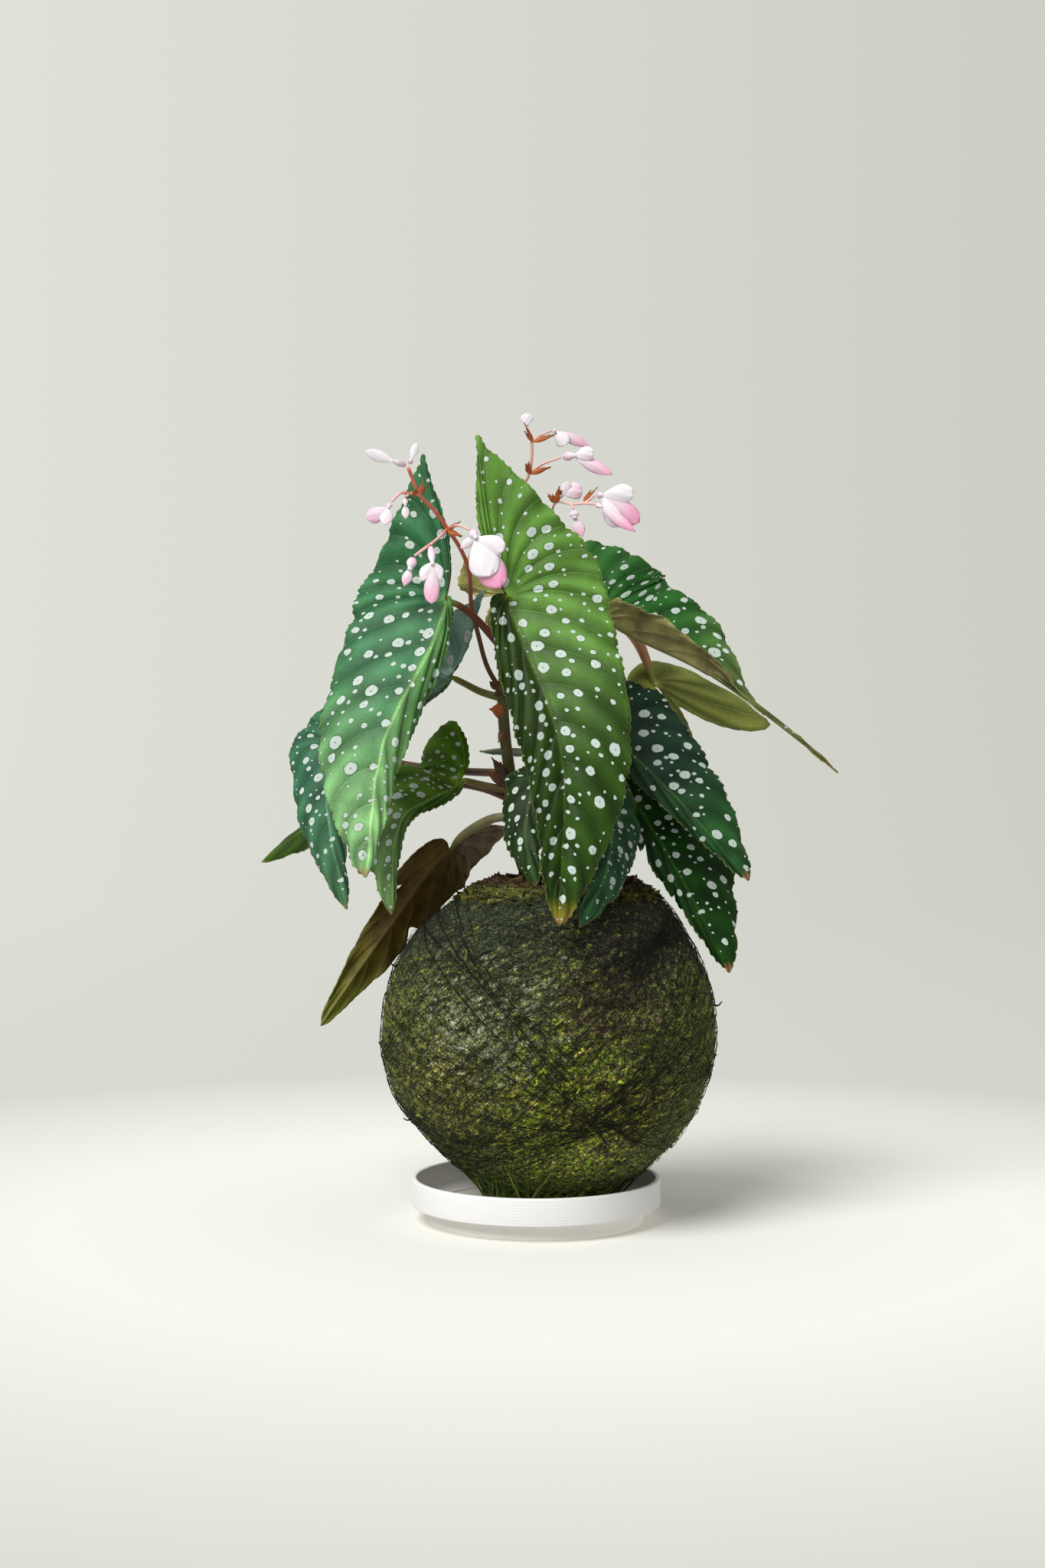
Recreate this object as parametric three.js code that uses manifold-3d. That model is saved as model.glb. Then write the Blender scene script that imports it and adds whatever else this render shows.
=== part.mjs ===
// Kokedama plant: a spotted angel-wing begonia rooted in a ball of soil that is wrapped in moss
// and wound with thread, standing on a white glazed saucer.
// Millimetres, +Z up, the front of the plant faces -Y.
// Origin: the centre of the saucer's flat underside.

import * as THREE from 'three';
import { mergeVertices } from 'three/addons/utils/BufferGeometryUtils.js';
import Module from 'manifold-3d';

const wasm = await Module();
wasm.setup();

const at = (x, y, z) => new THREE.Vector3(x, y, z);
const flat = (x, y) => new THREE.Vector2(x, y);
const degrees = THREE.MathUtils.degToRad;

// Clearance between neighbouring pieces
const GAP = 0.3;

// Saucer: a straight white band over a narrower foot
const SAUCER_RADIUS = 56.3;
const SAUCER_HEIGHT = 19.5;
const SAUCER_WALL = 2.3;
const SAUCER_FLOOR = 4.5;
const SAUCER_SIDES = 40;
const FOOT_RADIUS = 48.8;
const FOOT_HEIGHT = 7.2;
const FOOT_EDGE = 0.8;

// Ball: moss over a ball of soil, a little off the saucer's centre
const BALL_RADIUS = 75;
const BALL_CENTRE = at(5.8, 0, 85.5);
const BALL_SIDES = 32;
const BALL_ROWS = 15;
const CROWN_ANGLE = degrees(31);
const CROWN_LEAN = 7;
const MOSS_DEPTH = 6;
const MOSS_RELIEF = 0.8;
const PAD_RADIUS = 27;
const PAD_EDGE = 3;
const SOIL_ROWS = 8;
const SOIL_CROWN_HEIGHT = 5;
const SOIL_RELIEF = 1;

// Thread wound round the ball
const THREAD_RADIUS = 0.45;
const THREAD_LIFT = 1.1;
const THREAD_TURNS = 5;
const THREAD_STEPS = 28;
const THREAD_TILT = degrees(24);
const THREAD_TILT_RANGE = degrees(24);
const GOLDEN_TURN = degrees(137.5);

// Canes, petioles and flower stalks
const CANE_RADIUS = 2.6;
const CANE_TIP_RADIUS = 1.9;
const CANE_SIDES = 8;
const CANE_STEPS = 22;
const NODE_SWELLING = 1.35;
const PETIOLE_RADIUS = 1.4;
const PETIOLE_SIDES = 5;
const PETIOLE_STEPS = 5;
const STALK_RADIUS = 1;
const PEDICEL_RADIUS = 0.7;
const STALK_SIDES = 4;

// Leaf blades: one angel-wing outline for all, in fractions of the leaf's length.
// The first number runs along the midrib from the petiole (0) to the tip (1), the second across.
const BLADE_THICKNESS = 0.9;
const BLADE_ROWS = 18;
const BLADE_COLUMNS = 4;
const TOOTH_DEPTH = 0.06;
const LOBE_LENGTH = 0.48;
const TAIL_NARROWING = 0.88;
const TAIL_TAPER = 0.3;
const BIG_HALF = [flat(0, 0), flat(-0.06, -0.02), flat(-0.2, -0.055), flat(-0.34, -0.04),
  flat(-0.44, -0.015), flat(-0.48, 0.01), flat(-0.43, 0.06), flat(-0.33, 0.13), flat(-0.2, 0.205),
  flat(-0.1, 0.26), flat(0.02, 0.29), flat(0.14, 0.275), flat(0.4, 0.225), flat(0.6, 0.18),
  flat(0.78, 0.12), flat(0.92, 0.06), flat(0.98, 0.025), flat(1, 0)];
const SMALL_HALF = [flat(0, 0), flat(-0.015, -0.04), flat(0.01, -0.075), flat(0.08, -0.1),
  flat(0.22, -0.112), flat(0.4, -0.105), flat(0.6, -0.085), flat(0.8, -0.055), flat(0.93, -0.03),
  flat(1, 0)];
// Share of the rows that fan out from the petiole, and how far round each margin they reach
const FAN_ROWS = 0.45;
const FAN_BIG = 0.56;
const FAN_SMALL = 0.3;

// The two canes, from inside the soil upwards
const CANES = {
  left: [at(3, 9, 124), at(-1, 8, 145), at(-10, 6, 174), at(-11, 4, 195), at(-14, 4, 218),
    at(-15, 4, 238), at(-13, 4, 258), at(-11, 2, 275)],
  right: [at(13, 12, 124), at(15, 13, 145), at(18, 18, 188), at(21, 20, 223), at(22, 18, 255),
    at(18, 12, 283)],
};
// Heights of the swollen nodes on the canes
const CANE_NODES = { left: [174, 197, 239, 262], right: [176, 208, 240, 268] };

// Leaves. heel is the end of the big lobe, joint is where the petiole meets the blade, then the
// middle of the midrib and the tip. face is the way the upper side looks, and big is the side of
// the big half for someone who looks at the upper side with the tip down. A fold above zero lifts
// that half towards the upper side. stem leads from the joint to its cane.
const LEAVES = [
  { name: 'leaf_front_right', heel: at(-26, -34, 349), joint: at(-13, -40, 279),
    middle: at(10.5, -64, 210), tip: at(9, -72, 137), face: at(-0.1, -1, 0.1), big: 'right',
    wide: 1, narrow: 0.9, bigFold: -12, smallFold: -30,
    stem: [at(-12, -24, 283), at(-10, -8, 283), at(-11, 1, 272)], cane: 'left' },
  { name: 'leaf_front_left', heel: at(-50, -22, 343), joint: at(-40, -30, 278),
    middle: at(-66.5, -50, 213), tip: at(-73, -58, 157), face: at(-0.1, -1, 0.1), big: 'left',
    wide: 1.15, narrow: 0.8, bigFold: -14, smallFold: -20,
    stem: [at(-34, -22, 276), at(-27, -14, 271), at(-13, 4, 256)], cane: 'left' },
  { name: 'leaf_left_low', heel: at(-91, -8, 236), joint: at(-92, -14, 215),
    middle: at(-92, -26, 183), tip: at(-83, -34, 142), face: at(-0.2, -1, 0.2), big: 'left',
    wide: 0.95, narrow: 1, bigFold: -15, smallFold: -15,
    stem: [at(-82, -4, 212), at(-60, 17, 206), at(-36, 19, 203), at(-13, 5, 202)], cane: 'left' },
  { name: 'leaf_left_inner', heel: at(-38, 12, 227), joint: at(-35, 4, 199),
    middle: at(-60, -12, 181), tip: at(-64, -24, 139), face: at(-0.3, -1, 0.2), big: 'left',
    wide: 1, narrow: 0.5, bigFold: -10, smallFold: -10,
    stem: [at(-30, 5, 198), at(-22, 4, 196), at(-12, 4, 194)], cane: 'left' },
  { name: 'leaf_left_drooping', heel: at(-11, 46, 177), joint: at(-40, 26, 166),
    middle: at(-68, 12, 130), tip: at(-98, 2, 87), face: at(-0.3, 1, 0.2), big: 'left',
    wide: 0.7, narrow: 1, bigFold: 15, smallFold: 15,
    stem: [at(-34, 22, 173), at(-20, 14, 181), at(-10, 6, 182)], cane: 'left' },
  { name: 'leaf_left_far', heel: at(-71, 28, 202), joint: at(-88, 32, 189),
    middle: at(-108, 38, 176), tip: at(-130, 44, 160), face: at(-0.2, -0.7, 0.7), big: 'right',
    wide: 1, narrow: 1, bigFold: -15, smallFold: -15,
    stem: [at(-70, 32, 196), at(-40, 15, 197.5), at(-24, 11, 195), at(-11, 6, 190)], cane: 'left' },
  { name: 'leaf_left_middle', heel: at(-23, -4, 285), joint: at(-39, 2, 246),
    middle: at(-57, -4, 230), tip: at(-76, -8, 205), face: at(-0.1, -1, -0.1), big: 'left',
    wide: 1.5, narrow: 0.5, bigFold: -8, smallFold: -40,
    stem: [at(-33, 4, 243), at(-25, 5, 239), at(-15, 4, 236)], cane: 'left' },
  { name: 'leaf_back_upper', heel: at(-25, 22, 310), joint: at(-10, 26, 285),
    middle: at(10, 42, 250), tip: at(18, 54, 212), face: at(0.3, 1, 0.3), big: 'left',
    wide: 1, narrow: 1, bigFold: -10, smallFold: -10,
    stem: [at(-9, 18, 286), at(-9, 8, 282), at(-11, 2, 272)], cane: 'left' },
  { name: 'leaf_back_middle', heel: at(26, 40, 211), joint: at(13, 44, 211),
    middle: at(-9, 58, 213), tip: at(-32, 66, 213), face: at(0.1, 0.3, 1), big: 'left',
    wide: 1.2, narrow: 1, bigFold: -20, smallFold: -20,
    stem: [at(16, 38, 210), at(19, 30, 208), at(20, 19, 206)], cane: 'right' },
  { name: 'leaf_front_low_right', heel: at(39, -22, 202), joint: at(34, -32, 182),
    middle: at(30, -50, 159), tip: at(18, -62, 136), face: at(0.3, -1, 0.1), big: 'right',
    wide: 0.6, narrow: 1, bigFold: -15, smallFold: -20,
    stem: [at(32, -22, 186), at(28, -4, 190), at(18, 18, 188)], cane: 'right' },
  { name: 'leaf_front_low_left', heel: at(2, -12, 214), joint: at(1, -16, 200),
    middle: at(-1, -26, 176), tip: at(4, -36, 152), face: at(-0.3, -1, 0.1), big: 'left',
    wide: 1, narrow: 1, bigFold: -15, smallFold: -20,
    stem: [at(-1, -10, 201), at(-5, -3, 200), at(-11, 4, 197)], cane: 'left' },
  { name: 'leaf_right_top', heel: at(16, 24, 310), joint: at(30, -2, 272),
    middle: at(78, -2, 246), tip: at(136, -8, 202), face: at(0.45, 0.1, 0.9), big: 'right',
    wide: 1.15, narrow: 1.3, bigFold: 62, smallFold: 45, tail: 0.4,
    stem: [at(28, 3, 272), at(24, 10, 271), at(20, 15, 268)], cane: 'right' },
  { name: 'leaf_right_back', heel: at(115, 62, 224), joint: at(56, 44, 244),
    middle: at(70, 36, 206), tip: at(80, 24, 170), face: at(0.2, -1, 0.3), big: 'left',
    wide: 0.38, narrow: 1, bigFold: -10, smallFold: -10,
    stem: [at(53, 43, 254), at(47, 38, 266), at(36, 28, 276), at(18, 12, 281)], cane: 'right' },
  { name: 'leaf_right_middle', heel: at(8, -12, 252), joint: at(33, -22, 220),
    middle: at(62, -34, 190), tip: at(92, -44, 155), face: at(0.2, -1, 0.3), big: 'right',
    wide: 1.3, narrow: 0.8, bigFold: -10, smallFold: -10,
    stem: [at(32, -14, 224), at(29, 0, 227), at(22, 19, 226)], cane: 'right' },
  { name: 'leaf_right_low', heel: at(28, -2, 214), joint: at(45, -12, 188),
    middle: at(65, -22, 154), tip: at(85, -30, 114), face: at(0.2, -1, 0.2), big: 'right',
    wide: 1.5, narrow: 1, bigFold: -10, smallFold: -10,
    stem: [at(42, -6, 192), at(34, 4, 197), at(19, 18, 200)], cane: 'right' },
];

// Flower stalks. Each branch is a path that starts inside the one before it, and a bract is a small
// dry scale between two points.
const STALKS = [
  { name: 'flower_stalk_left', cane: 'left',
    stem: [at(-15, 4, 238), at(-22, 0, 250), at(-26, -6, 264), at(-29, -10, 277), at(-30, -16, 292),
      at(-33, -22, 300), at(-39, -32, 309), at(-45, -36, 317), at(-51, -38, 323), at(-54, -38, 330),
      at(-56, -38, 335)],
    branches: [
      [at(-39, -32, 309), at(-34, -40, 309.5), at(-29, -46, 307)],
      [at(-39, -32, 309), at(-42, -38, 305), at(-46, -42, 301)],
      [at(-45, -41, 302), at(-49, -42, 299), at(-53, -42, 296)],
      [at(-51, -38, 323), at(-55, -40, 323.5), at(-57, -40, 322)],
      [at(-55, -40, 323.5), at(-59, -40.5, 323.5), at(-63, -40, 320)],
    ],
    bracts: [[at(-41, -33, 308), at(-35, -36, 312)], [at(-52, -38, 322), at(-49, -39, 326)]] },
  { name: 'flower_stalk_right', cane: 'right',
    stem: [at(18, 12, 282), at(14, 8, 294), at(9, 4, 305), at(0, -5, 319), at(-6, -12, 329),
      at(-3, -14, 336), at(-2, -14, 350), at(-4, -14, 356)],
    branches: [
      [at(-3, -14, 336), at(3, -14, 340), at(11, -14, 343)],
      [at(-2, -14, 350), at(3, -4, 355), at(7, 6, 358)],
      [at(9, 4, 305), at(7, -6, 316), at(9, -14, 323), at(15, -16, 322), at(21, -18, 322),
        at(26, -18, 325)],
      [at(21, -18, 322), at(24, -20, 321.5), at(26, -22, 321)],
      [at(15, -16, 322), at(16, -17, 321), at(16.5, -18, 319.5)],
    ],
    bracts: [[at(-4, -14, 336), at(4, -17, 338.5)], [at(-3, -14, 349), at(5, -17, 353)],
      [at(9, -14, 323), at(5.5, -16, 327)], [at(21, -18, 322), at(25, -20, 327)]] },
];

// Blooms and buds. base is the end of the pedicel, ovary the end of the seed pod, and each petal
// has its tip and width. White petals and pink buds share one form.
const WHITE_PETAL = 0xf7eef0;
const PINK_PETAL = 0xeebbd0;
const BLOOMS = [
  { name: 'bloom_left_large', color: WHITE_PETAL, base: at(-28.4, -46.6, 306.6),
    ovary: at(-26, -48, 303), width: 4,
    petals: [[at(-20, -51, 286.5), 15], [at(-13.5, -50, 298), 9], [at(-14, -47, 281), 9],
      [at(-34, -46, 298), 5]] },
  { name: 'bud_left_low', color: PINK_PETAL, base: at(-53.6, -42, 295.3),
    ovary: at(-55, -42, 290), width: 4.5, petals: [[at(-57.5, -43, 283), 4.5]] },
  { name: 'bloom_left_low', color: PINK_PETAL, base: at(-46, -42.3, 300),
    ovary: at(-45, -44, 292), width: 3.4,
    petals: [[at(-50, -45, 285), 6], [at(-41.5, -44, 285.5), 6], [at(-45.5, -46, 275), 7]] },
  { name: 'bud_left_hanging', color: WHITE_PETAL, base: at(-57.2, -40, 321.2),
    ovary: at(-57, -40, 318), width: 2.4, petals: [[at(-57, -40, 312.5), 3.6]] },
  { name: 'bloom_left_side', color: WHITE_PETAL, base: at(-63.5, -40.2, 319.2),
    ovary: at(-64.5, -40.4, 317), width: 2.6,
    petals: [[at(-73.5, -42, 312), 7], [at(-66, -43, 309.5), 6]] },
  { name: 'bud_left_long', color: WHITE_PETAL, base: at(-57, -38.2, 335.8),
    ovary: at(-63, -38, 338), width: 3, petals: [[at(-75, -40, 342), 6.4]] },
  { name: 'bud_left_upright', color: WHITE_PETAL, base: at(-55.2, -38, 336.4),
    ovary: at(-54.5, -38, 339), width: 2.2, petals: [[at(-52, -38, 346), 3.6]] },
  { name: 'bud_right_round', color: WHITE_PETAL, base: at(-4.2, -14, 357),
    ovary: at(-4.2, -14, 358), width: 2.2, petals: [[at(-4, -14, 363), 6]] },
  { name: 'bloom_right_upper', color: WHITE_PETAL, base: at(11.9, -14, 343.2),
    ovary: at(17.7, -14, 343.8), width: 4,
    petals: [[at(25.5, -16, 345), 7], [at(34, -15, 335.3), 6]] },
  { name: 'bloom_right_top', color: WHITE_PETAL, base: at(7.8, 7, 358.4),
    ovary: at(9, 7, 358), width: 2.6, petals: [[at(14, 6, 352), 7], [at(24.5, 9, 351.5), 5]] },
  { name: 'bloom_right_inner', color: WHITE_PETAL, base: at(10.4, -15.6, 325.2),
    ovary: at(12, -17, 326.2), width: 2.4,
    petals: [[at(20.2, -18, 328.6), 8], [at(15, -18, 331.5), 5]] },
  { name: 'bud_right_low', color: PINK_PETAL, base: at(16.7, -18.2, 318.6),
    ovary: at(17.2, -19, 315), width: 4.6, petals: [[at(20.5, -20, 307), 5.5]] },
  { name: 'bloom_right_large', color: WHITE_PETAL, base: at(27, -18.2, 325.4),
    ovary: at(29.5, -19, 325.6), width: 3,
    petals: [[at(38.5, -21, 310.5), 13], [at(43.5, -20, 324.5), 9], [at(45.8, -18, 314.5), 8]] },
  { name: 'bloom_right_small', color: PINK_PETAL, base: at(26.35, -22.35, 320.85),
    ovary: at(29, -24.5, 319.5), width: 2.4, petals: [[at(43.5, -27, 308.5), 5]] },
];

// Merges shared points, drops collapsed triangles and turns the body's faces outwards.
function closedBody(geometry) {
  geometry.deleteAttribute('normal');
  geometry.deleteAttribute('uv');
  const merged = mergeVertices(geometry, 1e-4);
  const place = merged.attributes.position;
  const corner = (k) => new THREE.Vector3().fromBufferAttribute(place, k);
  const faces = [];
  let volume = 0;
  for (let k = 0; k < merged.index.count; k += 3) {
    const [a, b, c] = [0, 1, 2].map((step) => merged.index.getX(k + step));
    if (a === b || b === c || c === a) continue;
    faces.push([a, b, c]);
    volume += corner(a).dot(corner(b).cross(corner(c)));
  }
  merged.setIndex(faces.flatMap(([a, b, c]) => (volume < 0 ? [a, c, b] : [a, b, c])));
  return merged;
}

function toSolid(geometry) {
  const body = closedBody(geometry);
  return new wasm.Manifold(new wasm.Mesh({
    numProp: 3,
    vertProperties: Float32Array.from(body.attributes.position.array),
    triVerts: Uint32Array.from(body.index.array),
  }));
}

function toGeometry(solid) {
  const { vertProperties, triVerts } = solid.getMesh();
  const geometry = new THREE.BufferGeometry();
  geometry.setAttribute('position', new THREE.BufferAttribute(vertProperties, 3));
  geometry.setIndex(new THREE.BufferAttribute(triVerts, 1));
  geometry.computeVertexNormals();
  return geometry;
}

const joined = (solids) => solids.reduce((whole, solid) => whole.add(solid));

// Moves every point of a geometry to where the rule sends it.
function reshaped(geometry, rule) {
  const place = geometry.attributes.position;
  const point = new THREE.Vector3();
  for (let k = 0; k < place.count; k++) {
    rule(point.fromBufferAttribute(place, k));
    place.setXYZ(k, point.x, point.y, point.z);
  }
  return geometry;
}

// A round stem along a smooth path; radiusAt gives its radius for a share of the length.
function stem(points, radiusAt, sides, steps) {
  const path = new THREE.CatmullRomCurve3(points);
  const section = new THREE.Shape();
  for (let k = 0; k < sides; k++) {
    const angle = (2 * Math.PI * k) / sides;
    section[k ? 'lineTo' : 'moveTo'](Math.cos(angle), Math.sin(angle));
  }
  const centres = path.getSpacedPoints(steps);
  const tube = new THREE.ExtrudeGeometry(section, { steps, extrudePath: path });
  return toSolid(reshaped(tube, (point) => {
    const distances = centres.map((centre) => centre.distanceTo(point));
    const nearest = distances.indexOf(Math.min(...distances));
    point.sub(centres[nearest]).multiplyScalar(radiusAt(nearest / steps)).add(centres[nearest]);
  }));
}

// A thin closed sheet. where turns a share of the rows and of the columns into a place on the
// surface, and surface turns that place into a point. Both faces have the same triangles.
function sheet(rows, columns, where, surface, thickness) {
  const plane = new THREE.PlaneGeometry(1, 1, columns, rows);
  const nudge = 0.004;
  const upper = [];
  const lower = [];
  for (let row = 0; row <= rows; row++) {
    for (let column = 0; column <= columns; column++) {
      const [along, across] = where(row / rows, column / columns, row);
      const slope = surface(along + nudge, across).sub(surface(along - nudge, across));
      const tilt = surface(along, across + nudge).sub(surface(along, across - nudge));
      const half = slope.cross(tilt).setLength(thickness / 2);
      upper.push(surface(along, across).add(half));
      lower.push(surface(along, across).sub(half));
    }
  }
  const count = upper.length;
  const faces = Array.from(plane.index.array);
  const underside = faces.flatMap((_, k) => (k % 3 ? [] : [faces[k], faces[k + 2], faces[k + 1]]));
  faces.push(...underside.map((k) => k + count));
  const cell = (row, column) => row * (columns + 1) + column;
  const border = [];
  for (let row = 0; row < rows; row++) border.push(cell(row, 0));
  for (let column = 0; column < columns; column++) border.push(cell(rows, column));
  for (let row = rows; row > 0; row--) border.push(cell(row, columns));
  for (let column = columns; column > 0; column--) border.push(cell(0, column));
  border.forEach((a, k) => {
    const b = border[(k + 1) % border.length];
    faces.push(a, a + count, b + count, a, b + count, b);
  });
  const geometry = new THREE.BufferGeometry().setFromPoints([...upper, ...lower]);
  geometry.setIndex(faces);
  return toSolid(geometry);
}

function lathe(profile, sides) {
  return new THREE.LatheGeometry(profile, sides).rotateX(Math.PI / 2);
}

function saucer() {
  const inside = SAUCER_RADIUS - SAUCER_WALL;
  const profile = [flat(0, 0), flat(FOOT_RADIUS - FOOT_EDGE, 0), flat(FOOT_RADIUS, FOOT_EDGE),
    flat(FOOT_RADIUS, FOOT_HEIGHT), flat(SAUCER_RADIUS - FOOT_EDGE, FOOT_HEIGHT),
    flat(SAUCER_RADIUS, FOOT_HEIGHT + FOOT_EDGE), flat(SAUCER_RADIUS, SAUCER_HEIGHT - FOOT_EDGE),
    flat(SAUCER_RADIUS - FOOT_EDGE, SAUCER_HEIGHT), flat(inside, SAUCER_HEIGHT),
    flat(inside, FOOT_HEIGHT + SAUCER_WALL), flat(FOOT_RADIUS - SAUCER_WALL, SAUCER_FLOOR),
    flat(0, SAUCER_FLOOR)];
  return toSolid(lathe(profile, SAUCER_SIDES));
}

// Leans the top of the ball to the right and sets it on the saucer.
function placedOnSaucer(point) {
  const rise = THREE.MathUtils.smoothstep(point.z, BALL_RADIUS * 0.45, BALL_RADIUS);
  point.x += rise * CROWN_LEAN;
  point.add(BALL_CENTRE);
}

// Low, soft relief of the moss, in millimetres out of the round ball
function mossRelief(direction) {
  const { x, y, z } = direction;
  return MOSS_RELIEF * Math.sin(5 * x + 2 * z + 1) * Math.sin(4 * y - 3 * x) * Math.cos(5 * z);
}

function arc(radius, from, to, count) {
  return Array.from({ length: count + 1 }, (_, k) => {
    const angle = from + ((to - from) * k) / count;
    return flat(radius * Math.sin(angle), radius * Math.cos(angle));
  });
}

// The moss: an open-topped shell on a small flat pad
function mossWrap() {
  const padAngle = Math.PI - Math.asin(PAD_RADIUS / BALL_RADIUS);
  const floor = SAUCER_FLOOR + GAP - BALL_CENTRE.z;
  const inner = BALL_RADIUS - MOSS_DEPTH;
  const profile = [flat(0, floor), flat(PAD_RADIUS - PAD_EDGE, floor), flat(PAD_RADIUS, floor + PAD_EDGE),
    ...arc(BALL_RADIUS, padAngle, CROWN_ANGLE, BALL_ROWS),
    ...arc(inner, CROWN_ANGLE, Math.PI, SOIL_ROWS)];
  const shell = reshaped(lathe(profile, BALL_SIDES), (point) => {
    const distance = point.length();
    if (Math.abs(distance - BALL_RADIUS) < 1) {
      point.setLength(distance + mossRelief(point.clone().divideScalar(distance)));
    }
    placedOnSaucer(point);
  });
  return toSolid(shell);
}

// The ball of soil inside the moss, with a rough crown and plain holes for the canes
function soilBall() {
  const radius = BALL_RADIUS - MOSS_DEPTH - GAP * 1.6;
  const rim = arc(radius, Math.PI, CROWN_ANGLE, SOIL_ROWS);
  const edge = rim[rim.length - 1];
  const crown = [0.8, 0.55, 0.3, 0].map((share) =>
    flat(edge.x * share, edge.y + SOIL_CROWN_HEIGHT + (1 - share * share) * SOIL_CROWN_HEIGHT));
  const ball = reshaped(lathe([...rim, ...crown], BALL_SIDES), (point) => {
    if (point.z > edge.y + 1) point.z += SOIL_RELIEF * Math.sin(point.x / 2.7) * Math.sin(point.y / 3.1);
    placedOnSaucer(point);
  });
  return Object.keys(CANES).reduce((soil, key) => soil.subtract(cane(key, GAP)), toSolid(ball));
}

// Turns of thread round the ball, all crossing and so held together as one net
function threadWinding() {
  const turns = Array.from({ length: THREAD_TURNS }, (_, k) => {
    const turn = new THREE.TorusGeometry(BALL_RADIUS + THREAD_LIFT, THREAD_RADIUS, 3, THREAD_STEPS);
    const share = k / (THREAD_TURNS - 1);
    turn.rotateY(THREAD_TILT + THREAD_TILT_RANGE * share);
    turn.rotateZ(GOLDEN_TURN * k);
    return toSolid(reshaped(turn, (point) => {
      const distance = point.length();
      point.setLength(distance + mossRelief(point.clone().divideScalar(distance)));
      placedOnSaucer(point);
    }));
  });
  return joined(turns);
}

// One cane with its swollen nodes; extra makes it stouter, for the clearance round it.
function cane(key, extra = 0) {
  const points = CANES[key];
  const heights = CANE_NODES[key];
  const low = points[0].z;
  const high = points[points.length - 1].z;
  const radiusAt = (share) => {
    const height = low + (high - low) * share;
    const nearest = Math.min(...heights.map((node) => Math.abs(node - height)));
    const swelling = 1 + (NODE_SWELLING - 1) * Math.max(0, 1 - nearest / 6);
    return THREE.MathUtils.lerp(CANE_RADIUS, CANE_TIP_RADIUS, share) * swelling + extra;
  };
  return stem(points, radiusAt, CANE_SIDES, CANE_STEPS);
}

// The curved surface of a leaf, from shares of its length along and across the midrib
function leafSurface(leaf) {
  const { heel, joint, middle, tip } = leaf;
  const spine = new THREE.CatmullRomCurve3([heel, joint, middle, tip]);
  const length = joint.distanceTo(middle) + middle.distanceTo(tip);
  const turn = leaf.big === 'left' ? 1 : -1;
  return (along, across) => {
    const share = (1 + (along < 0 ? along / LOBE_LENGTH : 2 * along)) / 3;
    const inside = THREE.MathUtils.clamp(share, 0, 1);
    const point = spine.getPoint(inside);
    const tangent = spine.getTangent(inside);
    const aside = tangent.clone().cross(leaf.face).normalize().multiplyScalar(turn);
    const up = aside.clone().cross(tangent).normalize().multiplyScalar(turn);
    const big = across > 0;
    const start = leaf.tail ?? 1;
    const tail = 1 - TAIL_NARROWING * THREE.MathUtils.smoothstep(along, start, start + TAIL_TAPER);
    const reach = across * length * tail * (big ? leaf.wide : leaf.narrow);
    const fold = degrees(big ? leaf.bigFold : leaf.smallFold);
    point.addScaledVector(aside, reach * Math.cos(fold));
    point.addScaledVector(up, Math.abs(reach) * Math.sin(fold));
    return point.addScaledVector(tangent, (share - inside) * length);
  };
}

// The toothed margins: rows fan out from the petiole and then leave the midrib one by one.
function leafOutline() {
  const big = new THREE.SplineCurve(BIG_HALF);
  const small = new THREE.SplineCurve(SMALL_HALF);
  return (rowShare, columnShare, row) => {
    const fanned = Math.min(rowShare / FAN_ROWS, 1);
    const rest = Math.max((rowShare - FAN_ROWS) / (1 - FAN_ROWS), 0);
    const onBig = columnShare > 0.5;
    const reach = onBig ? FAN_BIG : FAN_SMALL;
    const margin = (onBig ? big : small).getPointAt(Math.min(fanned * reach + rest * (1 - reach), 1));
    const out = Math.abs(columnShare - 0.5) * 2;
    const tooth = row % 2 ? 1 - TOOTH_DEPTH : 1;
    return [rest + (margin.x - rest) * out * tooth, margin.y * out * tooth];
  };
}

function leafSolid(leaf) {
  const blade = sheet(BLADE_ROWS, BLADE_COLUMNS, leafOutline(), leafSurface(leaf), BLADE_THICKNESS);
  const petiole = stem([leaf.joint, ...leaf.stem], () => PETIOLE_RADIUS, PETIOLE_SIDES, PETIOLE_STEPS);
  return blade.add(petiole.subtract(cane(leaf.cane, GAP)));
}

// A petal, bract or scale: a cupped pointed oval from its base to its tip
function petal(base, tip, width, thickness) {
  const length = tip.clone().sub(base);
  const aside = length.clone().cross(at(0, 1, 0)).setLength(width / 2);
  const cup = aside.clone().cross(length).setLength(width * 0.16);
  const surface = (along, across) => base.clone().addScaledVector(length, along)
    .addScaledVector(aside, across)
    .addScaledVector(cup, across * across + 1.6 * (along - 0.5) ** 2);
  const where = (row, column) => [row, (2 * column - 1) * Math.sin(Math.PI * row ** 0.8)];
  return sheet(4, 2, where, surface, thickness);
}

function stalkSolid(stalk) {
  const stretch = (path, radiusAt) => stem(path, radiusAt, STALK_SIDES, 2 * (path.length - 1));
  const main = stretch(stalk.stem, (share) => STALK_RADIUS * (1.2 - 0.4 * share));
  const pedicels = stalk.branches.map((path) => stretch(path, () => PEDICEL_RADIUS));
  const bracts = stalk.bracts.map(([base, tip]) => petal(base, tip, 2.6, 0.8));
  return joined([main, ...pedicels, ...bracts]).subtract(cane(stalk.cane, GAP));
}

function bloomSolid(bloom) {
  const { base, ovary, width } = bloom;
  const pod = stem([base, base.clone().lerp(ovary, 0.6), ovary],
    (share) => (width / 2) * (0.35 + 0.65 * Math.sin(Math.PI * Math.min(share + 0.1, 0.9))), 5, 3);
  const petals = bloom.petals.map(([tip, spread]) =>
    petal(base.clone().lerp(ovary, 0.85), tip, spread, 0.8));
  return joined([pod, ...petals]);
}

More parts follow.
